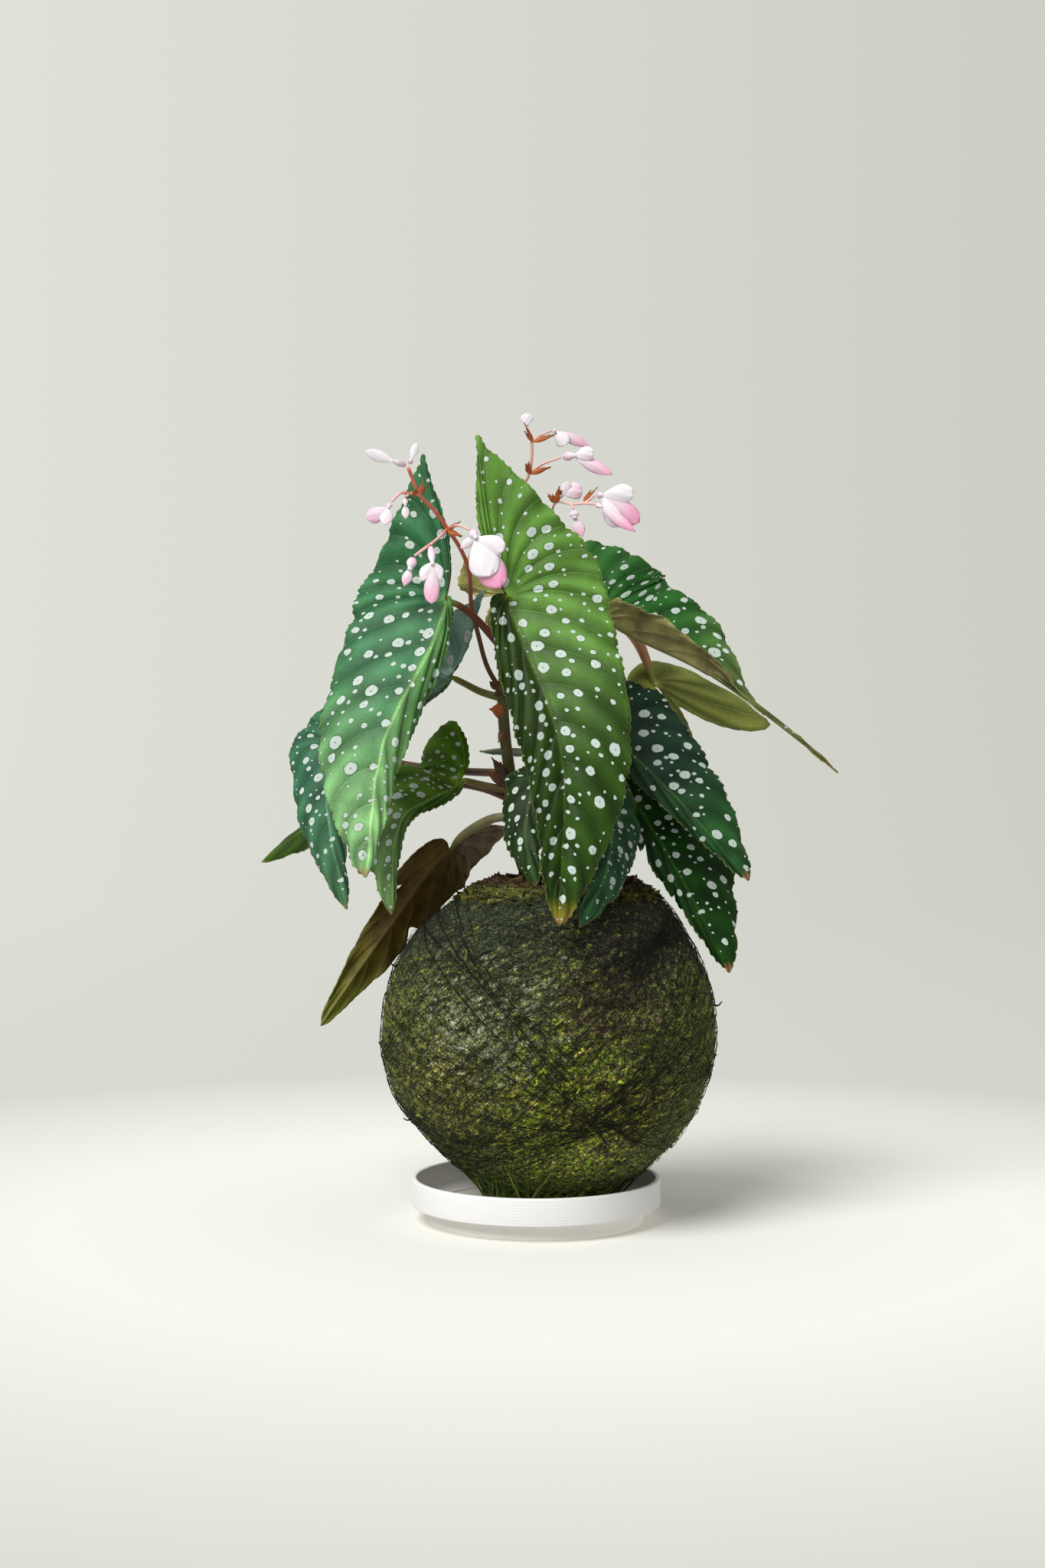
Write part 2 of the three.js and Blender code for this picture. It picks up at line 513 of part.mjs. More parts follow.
const FINISHES = {
  glaze: { color: 0xeceae6, roughness: 0.55 },
  moss: { color: 0x39401f, roughness: 1 },
  soil: { color: 0x2c1d13, roughness: 1 },
  thread: { color: 0x14160f, roughness: 0.8 },
  cane: { color: 0x55491f, roughness: 0.7 },
  leaf: { color: 0x2f6b45, roughness: 0.45 },
  stalk: { color: 0xc9705a, roughness: 0.6 },
};

function mesh(name, solid, finish) {
  const piece = new THREE.Mesh(toGeometry(solid), new THREE.MeshStandardMaterial(finish));
  piece.name = name;
  return piece;
}

const plant = new THREE.Group();
plant.add(mesh('saucer', saucer(), FINISHES.glaze));
plant.add(mesh('moss_wrap', mossWrap(), FINISHES.moss));
plant.add(mesh('soil_ball', soilBall(), FINISHES.soil));
plant.add(mesh('thread_winding', threadWinding(), FINISHES.thread));
for (const key of Object.keys(CANES)) plant.add(mesh(`cane_${key}`, cane(key), FINISHES.cane));
for (const leaf of LEAVES) plant.add(mesh(leaf.name, leafSolid(leaf), FINISHES.leaf));
for (const stalk of STALKS) plant.add(mesh(stalk.name, stalkSolid(stalk), FINISHES.stalk));
for (const bloom of BLOOMS) {
  plant.add(mesh(bloom.name, bloomSolid(bloom), { color: bloom.color, roughness: 0.6 }));
}

export default plant;
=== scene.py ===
"""Kokedama: a spotted begonia in flower, rooted in a moss ball wound with thread, on a white saucer.

The file is laid out as an add-on and run as a script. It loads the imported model, replaces its plain
solids with finer pieces of the same form, and adds moss, soil, thread and light. The tables below are
in millimetres. Every object is in metres, +Z up, with the plant's front towards -Y.
"""

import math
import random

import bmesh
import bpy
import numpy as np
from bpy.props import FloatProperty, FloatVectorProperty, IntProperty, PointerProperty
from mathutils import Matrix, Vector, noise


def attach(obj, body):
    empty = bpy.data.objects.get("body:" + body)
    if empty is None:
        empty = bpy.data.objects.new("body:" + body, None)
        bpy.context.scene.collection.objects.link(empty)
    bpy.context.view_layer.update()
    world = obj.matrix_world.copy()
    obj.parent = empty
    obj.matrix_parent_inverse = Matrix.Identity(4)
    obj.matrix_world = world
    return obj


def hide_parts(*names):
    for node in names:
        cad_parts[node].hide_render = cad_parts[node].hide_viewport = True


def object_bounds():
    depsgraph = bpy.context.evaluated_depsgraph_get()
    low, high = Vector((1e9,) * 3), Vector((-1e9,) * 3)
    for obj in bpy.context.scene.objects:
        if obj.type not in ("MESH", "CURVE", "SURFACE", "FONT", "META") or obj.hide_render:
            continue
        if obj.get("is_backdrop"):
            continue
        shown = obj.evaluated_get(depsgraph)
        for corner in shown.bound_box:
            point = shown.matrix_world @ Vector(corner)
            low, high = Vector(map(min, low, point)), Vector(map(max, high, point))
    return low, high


bl_info = {
    "name": "Kokedama plant",
    "version": (1, 0, 0),
    "blender": (4, 5, 0),
    "location": "3D View > Sidebar > Kokedama",
    "description": "Models a spotted begonia in a moss ball on a saucer",
    "category": "Add Mesh",
}

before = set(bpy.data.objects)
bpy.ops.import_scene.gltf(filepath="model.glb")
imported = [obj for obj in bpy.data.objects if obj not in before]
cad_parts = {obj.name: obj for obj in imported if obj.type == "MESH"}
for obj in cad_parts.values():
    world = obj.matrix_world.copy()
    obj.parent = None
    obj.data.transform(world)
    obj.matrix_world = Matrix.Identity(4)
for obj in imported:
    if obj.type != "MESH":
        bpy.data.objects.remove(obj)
CAD_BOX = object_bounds()

MM = 0.001
UP = Vector((0, 0, 1))

# Sockets of a Mix node for colours. On a Map Range node 0 is the value, 1 and 2 are the range that it
# comes from, and 3 and 4 the range that it is turned into
MIX_FACTOR, MIX_A, MIX_B, MIX_RESULT = 0, 6, 7, 2

# The ball's build, shared by saucer, moss, soil and thread
BALL_CENTRE = Vector((5.8, 0, 85.5)) * MM
CROWN_ANGLE = math.radians(31)
CROWN_HEIGHT = 5 * MM
CROWN_LEAN = 7 * MM
MOSS_DEPTH = 6 * MM
PAD_RADIUS = 27 * MM
PAD_EDGE = 3 * MM
SAUCER_FLOOR = 4.5 * MM
CLEARANCE = 0.3 * MM

# The camera looks level along +Y from in front of the plant, and the main light comes over its left
# shoulder
CAMERA_PLACE = Vector((-6.1, -987.5, 197)) * MM
CAMERA_LENS = 50
CAMERA_SENSOR = 36
SUN_DIRECTION = Vector((0.42, 0.62, -0.8))
SUN_WIDTH = math.radians(34)

# The canes, from inside the soil upwards, with the heights of their swollen nodes
CANES = {
    "left": [(3, 9, 124), (-1, 8, 145), (-10, 6, 174), (-11, 4, 195), (-14, 4, 218), (-15, 4, 238),
             (-13, 4, 258), (-11, 2, 275)],
    "right": [(13, 12, 124), (15, 13, 145), (18, 18, 188), (21, 20, 223), (22, 18, 255), (18, 12, 283)],
}
CANE_NODES = {"left": (174, 197, 239, 262), "right": (176, 208, 240, 268)}
CANE_NODE_REACH = 5 * MM
CANE_TOP_RADIUS = 2.5 * MM

# Dry stipules on the canes: base, tip, width and colour
SCALE_THICKNESS = 0.3 * MM
STIPULES = {
    "left": [((-13, 2, 230), (-21, -1, 231), 7.5, "#8f4a1c"), ((-13, 2, 199), (-20, -2, 209), 5, "#3a2410"),
             ((-13, 1, 197), (-23, -1, 203), 5, "#4a2c14"), ((-12, 0, 196), (-16, -4, 207), 5, "#2c1a0c"),
             ((-12, 0, 195), (-9, -4, 202), 5, "#24160c"), ((-14, 2, 222), (-17, -2, 216), 4, "#5a3418"),
             ((-15, 2, 240), (-19, -1, 237), 4, "#3a2410")],
    "right": [],
}

# The angel-wing outline, in shares of the leaf's length: along the midrib from the petiole (0) to the
# tip (1), and across it. A big half is pointed or round at its lobe.
LOBE_LENGTH = 0.48
TAIL_NARROWING = 0.88
TAIL_TAPER = 0.3
BIG_HALF = [(0, 0), (-0.06, -0.02), (-0.2, -0.055), (-0.34, -0.035), (-0.44, -0.008), (-0.49, 0.0),
            (-0.455, 0.018), (-0.4, 0.06), (-0.33, 0.115), (-0.2, 0.2), (-0.1, 0.26), (0.02, 0.29),
            (0.14, 0.275), (0.4, 0.225), (0.6, 0.18), (0.78, 0.12), (0.92, 0.06), (0.98, 0.025), (1, 0)]
ROUND_HALF = [(0, 0), (-0.06, -0.04), (-0.16, -0.09), (-0.28, -0.105), (-0.39, -0.075), (-0.46, -0.01),
              (-0.455, 0.06), (-0.41, 0.125), (-0.33, 0.185), (-0.2, 0.235), (-0.1, 0.265), (0.02, 0.285),
              (0.14, 0.275), (0.4, 0.225), (0.6, 0.18), (0.78, 0.12), (0.92, 0.06), (0.98, 0.025), (1, 0)]
SMALL_HALF = [(0, 0), (-0.015, -0.04), (0.01, -0.075), (0.08, -0.1), (0.22, -0.112), (0.4, -0.105),
              (0.6, -0.085), (0.8, -0.055), (0.93, -0.03), (1, 0)]

# The first rows of a half, FAN_ROWS of them all, fan out from the joint over FAN_BIG or FAN_SMALL of
# the outline. The other rows start on the midrib.
FAN_ROWS = 0.45
FAN_BIG = 0.56
FAN_SMALL = 0.3

# Relief of a blade of the usual length: its bow across each half, the long and short waves of its
# margin, and the ridge of its midrib
USUAL_LEAF = 200 * MM
BOW = 2.2 * MM
RUFFLE_BIG = 1.4 * MM
RUFFLE_SMALL = 2.4 * MM
FRILL = 0.9 * MM
RIDGE = 0.5 * MM
RIDGE_WIDTH = 1.2 * MM

# Leaves lie this many millimetres apart in the pattern of spots, so that no two look alike
PATTERN_STEP = 313.0

# A blade's own coordinates: plan is along and across the blade in millimetres, veins the count of side
# veins and their spacing, grain the direction of the side veins in the plan, edges the distance from
# the margin and the share along the midrib, and ribs the distances from the midrib and the joint
LEAF_MAPS = ("plan", "veins", "grain", "edges", "ribs")

# Leaves. heel is the end of the big lobe, joint is where the petiole meets the blade, then the
# middle of the midrib and the tip. face is the way the upper side looks, and big is the side of the
# big half for someone who looks at the upper side with the tip down. spread is the width of the big
# and the small half in shares of the outline's, and fold turns them towards the upper side, in
# degrees. stem is the rest of the petiole's path, from the joint to the cane. colours are those of
# the big half, the small half, the tip, the underside and the petiole.
# Some leaves have more. slim is the small half's width beside the joint, round a rounder big lobe, and tail
# the share of the midrib where the blade narrows to a tail. notches and small_notches are deep cuts in the
# two halves' margins: their place on the outline, depth and width. toothed is the share of the usual teeth,
# and swell thickens the petiole's middle. spots is how much of the spotting the two halves show: none on a
# plain leaf, and on a leaf or half in shade a lower share that dims the spots as painted shade. dense and
# small_dense say how closely the spots stand. blend is where along the midrib the colour turns to the tip's,
# end the colour of the last tenth, and lobe the colour of the lobe's underside. Some colours below are
# painted light or shade, as noted at their leaves.
LEAVES = [
    # Painted light and shade: the big half's green is made paler, in part as a painted sheen, and the small
    # half's green is darkened and its spots dimmed to 0.72 as painted shade
    {"name": "leaf_front_right", "heel": (-26, -34, 349), "joint": (-13, -40, 279),
     "middle": (10.5, -64, 210), "tip": (9, -72, 137), "face": (-0.1, -1, 0.1), "big": "right",
     "spread": (0.98, 1.15), "slim": 0.6, "fold": (-4, -6),
     "stem": [(-12, -24, 283), (-10, -8, 283), (-11, 1, 272)],
     "spots": (1, 0.72), "small_dense": 1.3, "blend": (0, 0.66), "end": "#8f862c",
     "colours": ("#557f32", "#1f3400", "#1a3200", "#6d6a34", "#7a7440")},
    {"name": "leaf_front_left", "heel": (-50, -22, 343), "joint": (-40, -30, 278),
     "middle": (-66.5, -50, 213), "tip": (-73, -58, 157), "face": (-0.1, -1, 0.1), "big": "left",
     "spread": (1.15, 0.8), "slim": 0.5, "fold": (-14, -20),
     "stem": [(-34, -22, 276), (-27, -14, 271), (-13, 4, 256)],
     "small_dense": 1.2, "colours": ("#346a42", "#46743a", "#80b072", "#5a4a24", "#5a2a14")},
    {"name": "leaf_left_low", "heel": (-91, -8, 236), "joint": (-92, -14, 215),
     "middle": (-92, -26, 183), "tip": (-83, -34, 142), "face": (-0.2, -1, 0.2), "big": "left",
     "spread": (0.95, 1), "fold": (-15, -15),
     "stem": [(-82, -4, 212), (-60, 17, 206), (-36, 19, 203), (-13, 5, 202)],
     "dense": 1.3, "colours": ("#2f6044", "#33644a", "#3c6444", "#4a3c1c", "#6a4a28")},
    # Painted shade, in part: its spots are dimmed to 0.85 for a leaf that lies in shade
    {"name": "leaf_left_inner", "heel": (-38, 12, 227), "joint": (-35, 4, 199),
     "middle": (-60, -12, 181), "tip": (-64, -24, 139), "face": (-0.3, -1, 0.2), "big": "left",
     "spread": (1.2, 0.5), "fold": (-10, -10), "round": True,
     "stem": [(-30, 5, 198), (-22, 4, 196), (-12, 4, 194)],
     "dense": 1.4, "spots": (0.85, 0.85),
     "colours": ("#4a7012", "#3a5a18", "#648850", "#3f3216", "#56481c")},
    {"name": "leaf_left_drooping", "heel": (-11, 46, 177), "joint": (-40, 26, 166),
     "middle": (-68, 12, 130), "tip": (-98, 2, 87), "face": (-0.3, 1, 0.2), "big": "left",
     "spread": (0.7, 1), "fold": (15, 15),
     "stem": [(-34, 22, 173), (-20, 14, 181), (-10, 6, 182)], "swell": 0.3,
     "notches": ((0.72, 0.34, 0.018),), "small_notches": ((0.42, 0.4, 0.02),), "toothed": 0.25,
     "lobe": "#8f7d66",
     "colours": ("#2c4c24", "#2f5024", "#66701a", "#5e4a14", "#9a9468")},
    {"name": "leaf_left_far", "heel": (-71, 28, 202), "joint": (-88, 32, 189),
     "middle": (-108, 38, 176), "tip": (-130, 44, 160), "face": (-0.2, -0.7, 0.7), "big": "right",
     "spread": (1, 1), "fold": (-15, -15),
     "stem": [(-70, 32, 196), (-40, 15, 197.5), (-24, 11, 195), (-11, 6, 190)],
     "spots": (0, 0), "toothed": 0.6, "colours": ("#203602", "#223804", "#2c4608", "#4a4418", "#5a3018")},
    # Painted light, in part: the big half's pale grey-teal is raised to stand in for light on a half that
    # other leaves shade
    {"name": "leaf_left_middle", "heel": (-23, -4, 285), "joint": (-39, 2, 246),
     "middle": (-57, -4, 230), "tip": (-76, -8, 205), "face": (-0.1, -1, -0.1), "big": "left",
     "spread": (1.5, 0.5), "fold": (-8, -40), "stem": [(-33, 4, 243), (-25, 5, 239), (-15, 4, 236)],
     "colours": ("#7ca294", "#3c5a44", "#4a5c30", "#4a3a18", "#6a6428")},
    {"name": "leaf_back_upper", "heel": (-25, 22, 310), "joint": (-10, 26, 285),
     "middle": (10, 42, 250), "tip": (18, 54, 212), "face": (0.3, 1, 0.3), "big": "left",
     "spread": (1, 1), "slim": 2.3, "fold": (-10, -10), "round": True,
     "stem": [(-9, 18, 286), (-9, 8, 282), (-11, 2, 272)],
     "colours": ("#2c6040", "#2c6040", "#5a6a34", "#9c9a56", "#5a5a24")},
    {"name": "leaf_back_middle", "heel": (26, 40, 211), "joint": (13, 44, 211),
     "middle": (-7, 58, 213), "tip": (-27, 66, 213), "face": (0.1, 0.3, 1), "big": "left",
     "spread": (0.9, 0.8), "fold": (-5, -5), "stem": [(16, 38, 210), (19, 30, 208), (20, 19, 206)],
     "colours": ("#35685a", "#35685a", "#3c6a58", "#5a5a30", "#5a5228")},
    {"name": "leaf_front_low_right", "heel": (39, -22, 202), "joint": (34, -32, 182),
     "middle": (30, -50, 159), "tip": (18, -62, 136), "face": (0.3, -1, 0.1), "big": "right",
     "spread": (0.9, 1.3), "fold": (-15, -20), "stem": [(32, -22, 186), (28, -4, 190), (18, 18, 188)],
     "dense": 1.4, "colours": ("#1c4626", "#1c4424", "#2c5a38", "#3c3014", "#4a3a1c")},
    {"name": "leaf_front_low_left", "heel": (2, -12, 208), "joint": (0, -16, 200),
     "middle": (-5, -26, 176), "tip": (0, -36, 152), "face": (-0.3, -1, 0.1), "big": "left",
     "spread": (1, 1.5), "fold": (-15, -20), "stem": [(-1, -10, 201), (-5, -3, 200), (-11, 4, 197)],
     "dense": 1.4, "colours": ("#142a04", "#162c04", "#1a360a", "#3c3014", "#4a3a1c")},
    {"name": "leaf_right_top", "heel": (12, 26, 308), "joint": (30, -2, 272),
     "middle": (78, -2, 246), "tip": (136, -8, 202), "face": (0.45, 0.1, 0.9), "big": "right",
     "spread": (1.12, 0.9), "slim": 1.45, "fold": (62, 45), "tail": 0.4, "round": True,
     "stem": [(28, 3, 272), (24, 10, 271), (20, 15, 268)],
     "dense": 0.95, "colours": ("#265e22", "#286020", "#64643a", "#86824e", "#6a5a34")},
    {"name": "leaf_right_back", "heel": (115, 62, 224), "joint": (56, 44, 244),
     "middle": (70, 36, 206), "tip": (80, 24, 170), "face": (0.2, -1, 0.3), "big": "left",
     "spread": (0.55, 1.2), "fold": (-10, -10), "round": True,
     "stem": [(53, 43, 254), (47, 38, 266), (36, 28, 276), (18, 12, 281)], "swell": 0.9,
     "spots": (0, 0), "toothed": 0.6,
     "colours": ("#78803c", "#6a7230", "#5a6028", "#5a5424", "#a5754e")},
    # Painted shade: its greens are darkened and its spots dimmed to 0.8 for a leaf in the shade of those
    # above it
    {"name": "leaf_right_middle", "heel": (8, -12, 252), "joint": (33, -22, 220),
     "middle": (62, -34, 190), "tip": (92, -44, 155), "face": (0.2, -1, 0.3), "big": "right",
     "spread": (1.3, 0.8), "fold": (-10, -10), "stem": [(32, -14, 224), (29, 0, 227), (22, 19, 226)],
     "dense": 1.1, "spots": (0.8, 0.8),
     "colours": ("#142e1e", "#16321c", "#1a441a", "#4a4420", "#4a3a1c")},
    # Painted shade: its greens are darkened for a leaf in the shade of those above it
    {"name": "leaf_right_low", "heel": (28, -2, 214), "joint": (45, -12, 188),
     "middle": (65, -22, 154), "tip": (85, -30, 114), "face": (0.2, -1, 0.2), "big": "right",
     "spread": (1.5, 1), "fold": (-10, -10), "stem": [(42, -6, 192), (34, 4, 197), (19, 18, 200)],
     "dense": 1.2, "notches": ((0.7, 0.12, 0.01),), "small_notches": ((0.35, 0.3, 0.02), (0.6, 0.2, 0.015)),
     "colours": ("#0f3408", "#12360c", "#0c3002", "#3c3014", "#4a3a1c")},
]

# Flower stalks. colours are those of the stalk's foot and its top, and slender is its thickness in
# shares of the usual one. Each branch starts inside an earlier one, and a bract is a dry scale from
# its base to its tip.
STALKS = {
    "left": {
        "colours": ("#5a3c1c", "#d8745c"), "slender": 1,
        "stem": [(-15, 4, 238), (-22, 0, 250), (-26, -6, 264), (-29, -10, 277), (-30, -16, 292),
                 (-33, -22, 300), (-39, -32, 309), (-45, -36, 317), (-51, -38, 323), (-54, -38, 330),
                 (-56, -38, 335)],
        "branches": [
            [(-39, -32, 309), (-34, -40, 309.5), (-29, -46, 307)],
            [(-39, -32, 309), (-42, -38, 305), (-46, -42, 301)],
            [(-45, -41, 302), (-49, -42, 299), (-53, -42, 296)],
            [(-51, -38, 323), (-55, -40, 323.5), (-57, -40, 322)],
            [(-55, -40, 323.5), (-59, -40.5, 323.5), (-63, -40, 320)],
        ],
        "bracts": [[(-39.5, -33, 308), (-33, -37, 305.5)], [(-39.5, -33, 308), (-35, -36, 311)],
                   [(-52, -38, 322.5), (-55.5, -41, 325)], [(-52, -38, 322.5), (-48.5, -39, 326)]],
    },
    "right": {
        "colours": ("#8a4a34", "#f8c8ba"), "slender": 0.85,
        "stem": [(18, 12, 282), (14, 8, 294), (9, 4, 305), (0, -5, 319), (-6, -12, 329), (-3, -14, 336),
                 (-2, -14, 350), (-4, -14, 356)],
        "branches": [
            [(-3, -14, 336), (3, -14, 340), (11, -14, 343)],
            [(-2, -14, 350), (3, -4, 355), (7, 6, 358)],
            [(9, 4, 305), (7, -6, 316), (9, -14, 323), (15, -16, 322), (21, -18, 322), (26, -18, 325)],
            [(21, -18, 322), (24, -20, 321.5), (26, -22, 321)],
            [(15, -16, 322), (16, -17, 321), (16.5, -18, 319.5)],
        ],
        "bracts": [[(-3, -15, 335.4), (6, -18, 338.4)], [(-3, -15, 335.4), (-5, -18, 339.8)],
                   [(-1.5, -15, 349.6), (6, -18, 353.2)], [(-1.5, -15, 349.6), (-5.2, -18, 353.6)],
                   [(9, -15, 322.8), (10, -17, 328)], [(9, -15, 322.8), (5.5, -16, 325.5)],
                   [(21, -18, 322.6), (26, -20, 328.4)]],
    },
}

# Blooms and buds. base is the end of the pedicel, ovary the end of the seed pod and width the pod's
# width. Each petal has its tip, its width and how pink its end is.
BLOOMS = [
    {"name": "bloom_left_large", "base": (-28.4, -46.6, 306.6), "ovary": (-26, -48, 303), "width": 4,
     "petals": [((-20.5, -51.5, 286.5), 14, 0), ((-14, -50, 298), 9, 0.1), ((-16, -50.5, 281.4), 13, 1),
                ((-33, -46, 299), 4, 0.2)]},
    {"name": "bud_left_low", "base": (-53.6, -42, 295.3), "ovary": (-55, -42, 290), "width": 4.5,
     "petals": [((-57.5, -43, 283), 4.5, 0.7)]},
    {"name": "bloom_left_low", "base": (-46, -42.3, 300), "ovary": (-45, -44, 292), "width": 3.4,
     "petals": [((-50, -45, 285), 6, 0.1), ((-41.5, -44, 285.5), 6, 0.1), ((-45.5, -46, 275), 7, 0.8)]},
    {"name": "bud_left_hanging", "base": (-57.2, -40, 321.2), "ovary": (-57, -40, 318), "width": 2.4,
     "petals": [((-57, -40, 312.5), 3.6, 0.1)]},
    {"name": "bloom_left_side", "base": (-63.5, -40.2, 319.2), "ovary": (-64.5, -40.4, 317), "width": 2.6,
     "petals": [((-73.5, -42, 312), 7, 0.6), ((-66, -43, 309.5), 6, 0.2)]},
    {"name": "bud_left_long", "base": (-57, -38.2, 335.8), "ovary": (-63, -38, 338), "width": 3,
     "petals": [((-75, -40, 342), 5.2, 0)]},
    {"name": "bud_left_upright", "base": (-55.2, -38, 336.4), "ovary": (-54.5, -38, 339), "width": 2.2,
     "petals": [((-52, -38, 346), 3.6, 0)]},
    {"name": "bud_right_round", "base": (-4.2, -14, 357), "ovary": (-4.2, -14, 358), "width": 2.2,
     "petals": [((-4, -14, 363), 6, 0)]},
    {"name": "bloom_right_upper", "base": (11.9, -14, 343.2), "ovary": (17.7, -14, 343.8), "width": 4,
     "petals": [((25.5, -16, 345), 7, 0.1), ((34, -15, 335.3), 6, 0.8)]},
    {"name": "bloom_right_top", "base": (7.8, 7, 358.4), "ovary": (9, 7, 358), "width": 2.6,
     "petals": [((14, 6, 352), 7, 0), ((24.5, 9, 351.5), 5, 0.8)]},
    {"name": "bloom_right_inner", "base": (10.4, -15.6, 325.2), "ovary": (12, -17, 326.2), "width": 2.4,
     "petals": [((20.2, -18, 328.6), 8, 0.5), ((15, -18, 331.5), 5, 0.2)]},
    {"name": "bud_right_low", "base": (16.7, -18.2, 318.6), "ovary": (17.2, -19, 315), "width": 4.6,
     "petals": [((20.5, -20, 307), 5.5, 0.7)]},
    {"name": "bloom_right_large", "base": (27, -18.2, 325.4), "ovary": (29.5, -19, 325.6), "width": 3,
     "petals": [((36.5, -22, 311), 8, 0.05), ((43.5, -19, 326.5), 9, 0), ((46, -18, 313.5), 9.5, 1)]},
    {"name": "bloom_right_small", "base": (26.35, -22.35, 320.85), "ovary": (29, -24.5, 319.5),
     "width": 2.4, "petals": [((43.5, -27, 308.5), 5, 1)]},
]

# Patches of other growth in the moss, and a few of painted shade and painted sheen: a place from the ball's
# centre, how far it reaches, how thick it stands in the middle, and its colours
MOSS_PATCHES = [
    # Painted shade: the first two patches are dark, under the leaves at the crown's front, and stand for the
    # leaves' shadow on the moss
    ((-16, -38, 66), 44, 0.92, ("#333a26", "#2a301e", "#3d4430", "#242a1a")),
    ((36, -40, 52), 40, 0.92, ("#2c2a1c", "#24241a", "#363226", "#1f2016")),
    ((-52, -20, 50), 34, 0.85, ("#3b4230", "#4a5138", "#2e3424")),
    ((-20, -54, 38), 36, 0.75, ("#3a4128", "#333a24", "#454c30", "#4c5236")),
    ((8, -66, -32), 40, 0.34, ("#a8b63a", "#86a22a", "#ccc45c")),
    ((-44, -55, -22), 28, 0.3, ("#9a944a", "#7a6a3e", "#b0aa58")),
    ((25, -66, 21), 26, 0.5, ("#4e4034", "#5a4a3a", "#40342a")),
    ((32, -62, -30), 22, 0.4, ("#5a4834", "#66523a", "#483a2a")),
    # Painted highlight: a pale grey-green sheen where the light falls on the moss at the front
    ((-27, -69, 12), 34, 0.65, ("#8a9068", "#7a805c", "#9ca282")),
    ((-6, -40, -62), 30, 0.5, ("#6a7a30", "#56642a", "#7c8a3c")),
    ((-20, -20, -72), 22, 0.7, ("#4f7a1e", "#3d6418", "#6a8c2c")),
    ((66, -30, 14), 22, 0.4, ("#66822a", "#4f6a20", "#8c9a40")),
    ((-72, -10, 8), 26, 0.4, ("#8c8440", "#7a7a30", "#5a6428")),
    ((20, 68, -20), 36, 0.5, ("#8fa436", "#6f8a28", "#b0ac50")),
    ((-40, 60, 20), 30, 0.5, ("#5a6450", "#4a5444", "#6a7260")),
    ((55, 45, 25), 26, 0.5, ("#4c3a2c", "#5a4632", "#3c2f24")),
]
MOSS_GREENS = ("#464c22", "#525828", "#5c6232", "#3c411d", "#6a7236", "#4a5030", "#74764a", "#828c3c")

# A flatter place low on the ball: its direction from the centre, and its depth
HOLLOW_DIRECTION = Vector((-0.64, -0.28, -0.72))
HOLLOW_DEPTH = 2.4

# Fans of thread: a direction from the ball's centre in which the turns cross, the slopes in degrees
# between which they spread there, and their number
THREAD_FANS = [
    ((0.62, -0.53, 0.57), (4, 46), 30),
    ((-0.3, -0.9, 0.3), (-54, -34), 12),
    ((0.25, -0.9, -0.35), (22, 52), 14),
    ((-0.3, 0.85, 0.45), (-40, 40), 22),
    ((0.9, 0.3, 0.1), (-45, 20), 12),
    ((-0.9, 0.2, 0.2), (-20, 45), 12),
]

# Small twigs that stand out of the moss, each a path from its foot to its end
TWIGS = [
    [(-34, -12, 146), (-36, -14, 150), (-39, -15, 153), (-39, -15, 157)],
    [(-30, -18, 147), (-32, -21, 152), (-31, -23, 155)],
    [(-61, -4, 116), (-64, -5, 115), (-67, -5, 118)],
    [(-54, -2, 47), (-58, -3, 45), (-60, -3, 46)],
    [(79, -4, 98), (82, -5, 97), (84, -5, 99)],
    [(60, 40, 110), (63, 43, 112), (64, 46, 115)],
]


def linear(hex_colour):
    """An sRGB hex colour as the linear red, green, blue and alpha that Blender works in."""
    channels = [int(hex_colour[k:k + 2], 16) / 255 for k in (1, 3, 5)]
    return (*[c / 12.92 if c <= 0.04045 else ((c + 0.055) / 1.055) ** 2.4 for c in channels], 1.0)


def at(place):
    """A point in metres from one in millimetres."""
    return Vector(place) * MM


def level_way(turn):
    """A level direction, from its angle round the upright axis."""
    return Vector((math.cos(turn), math.sin(turn), 0))


def any_way(dice):
    """A random vector that points any way."""
    return Vector((dice.gauss(0, 1), dice.gauss(0, 1), dice.gauss(0, 1)))


def ramp(value, low, high):
    """A smooth rise from 0 at low to 1 at high, for numbers and arrays."""
    share = np.clip((value - low) / (high - low), 0, 1)
    return share * share * (3 - 2 * share)


class SaucerSettings(bpy.types.PropertyGroup):
    """Sizes and glaze of the saucer"""
    radius: FloatProperty(name="Radius", description="Outer radius of the saucer's band",
                          default=56.3 * MM, unit="LENGTH")
    height: FloatProperty(name="Height", description="Height of the rim above the table",
                          default=19.5 * MM, unit="LENGTH")
    wall: FloatProperty(name="Wall", description="Thickness of the wall", default=2.3 * MM, unit="LENGTH")
    foot_radius: FloatProperty(name="Foot radius", description="Radius of the foot under the band",
                               default=48.8 * MM, unit="LENGTH")
    foot_height: FloatProperty(name="Foot height", description="Height of the foot",
                               default=7.2 * MM, unit="LENGTH")
    edge: FloatProperty(name="Edge", description="Radius of the rounded edges",
                        default=0.8 * MM, unit="LENGTH")
    glaze: FloatVectorProperty(name="Glaze", description="Colour of the glaze", subtype="COLOR", size=4,
                               default=linear("#efeeec"))
    # The bare foot's warm tone is set near white, in part as painted light for the light that the table
    # throws up under the band
    clay_and_painted_light: FloatVectorProperty(name="Clay", description="Colour of the bare foot", subtype="COLOR", size=4,
                              default=linear("#fffaf2"))


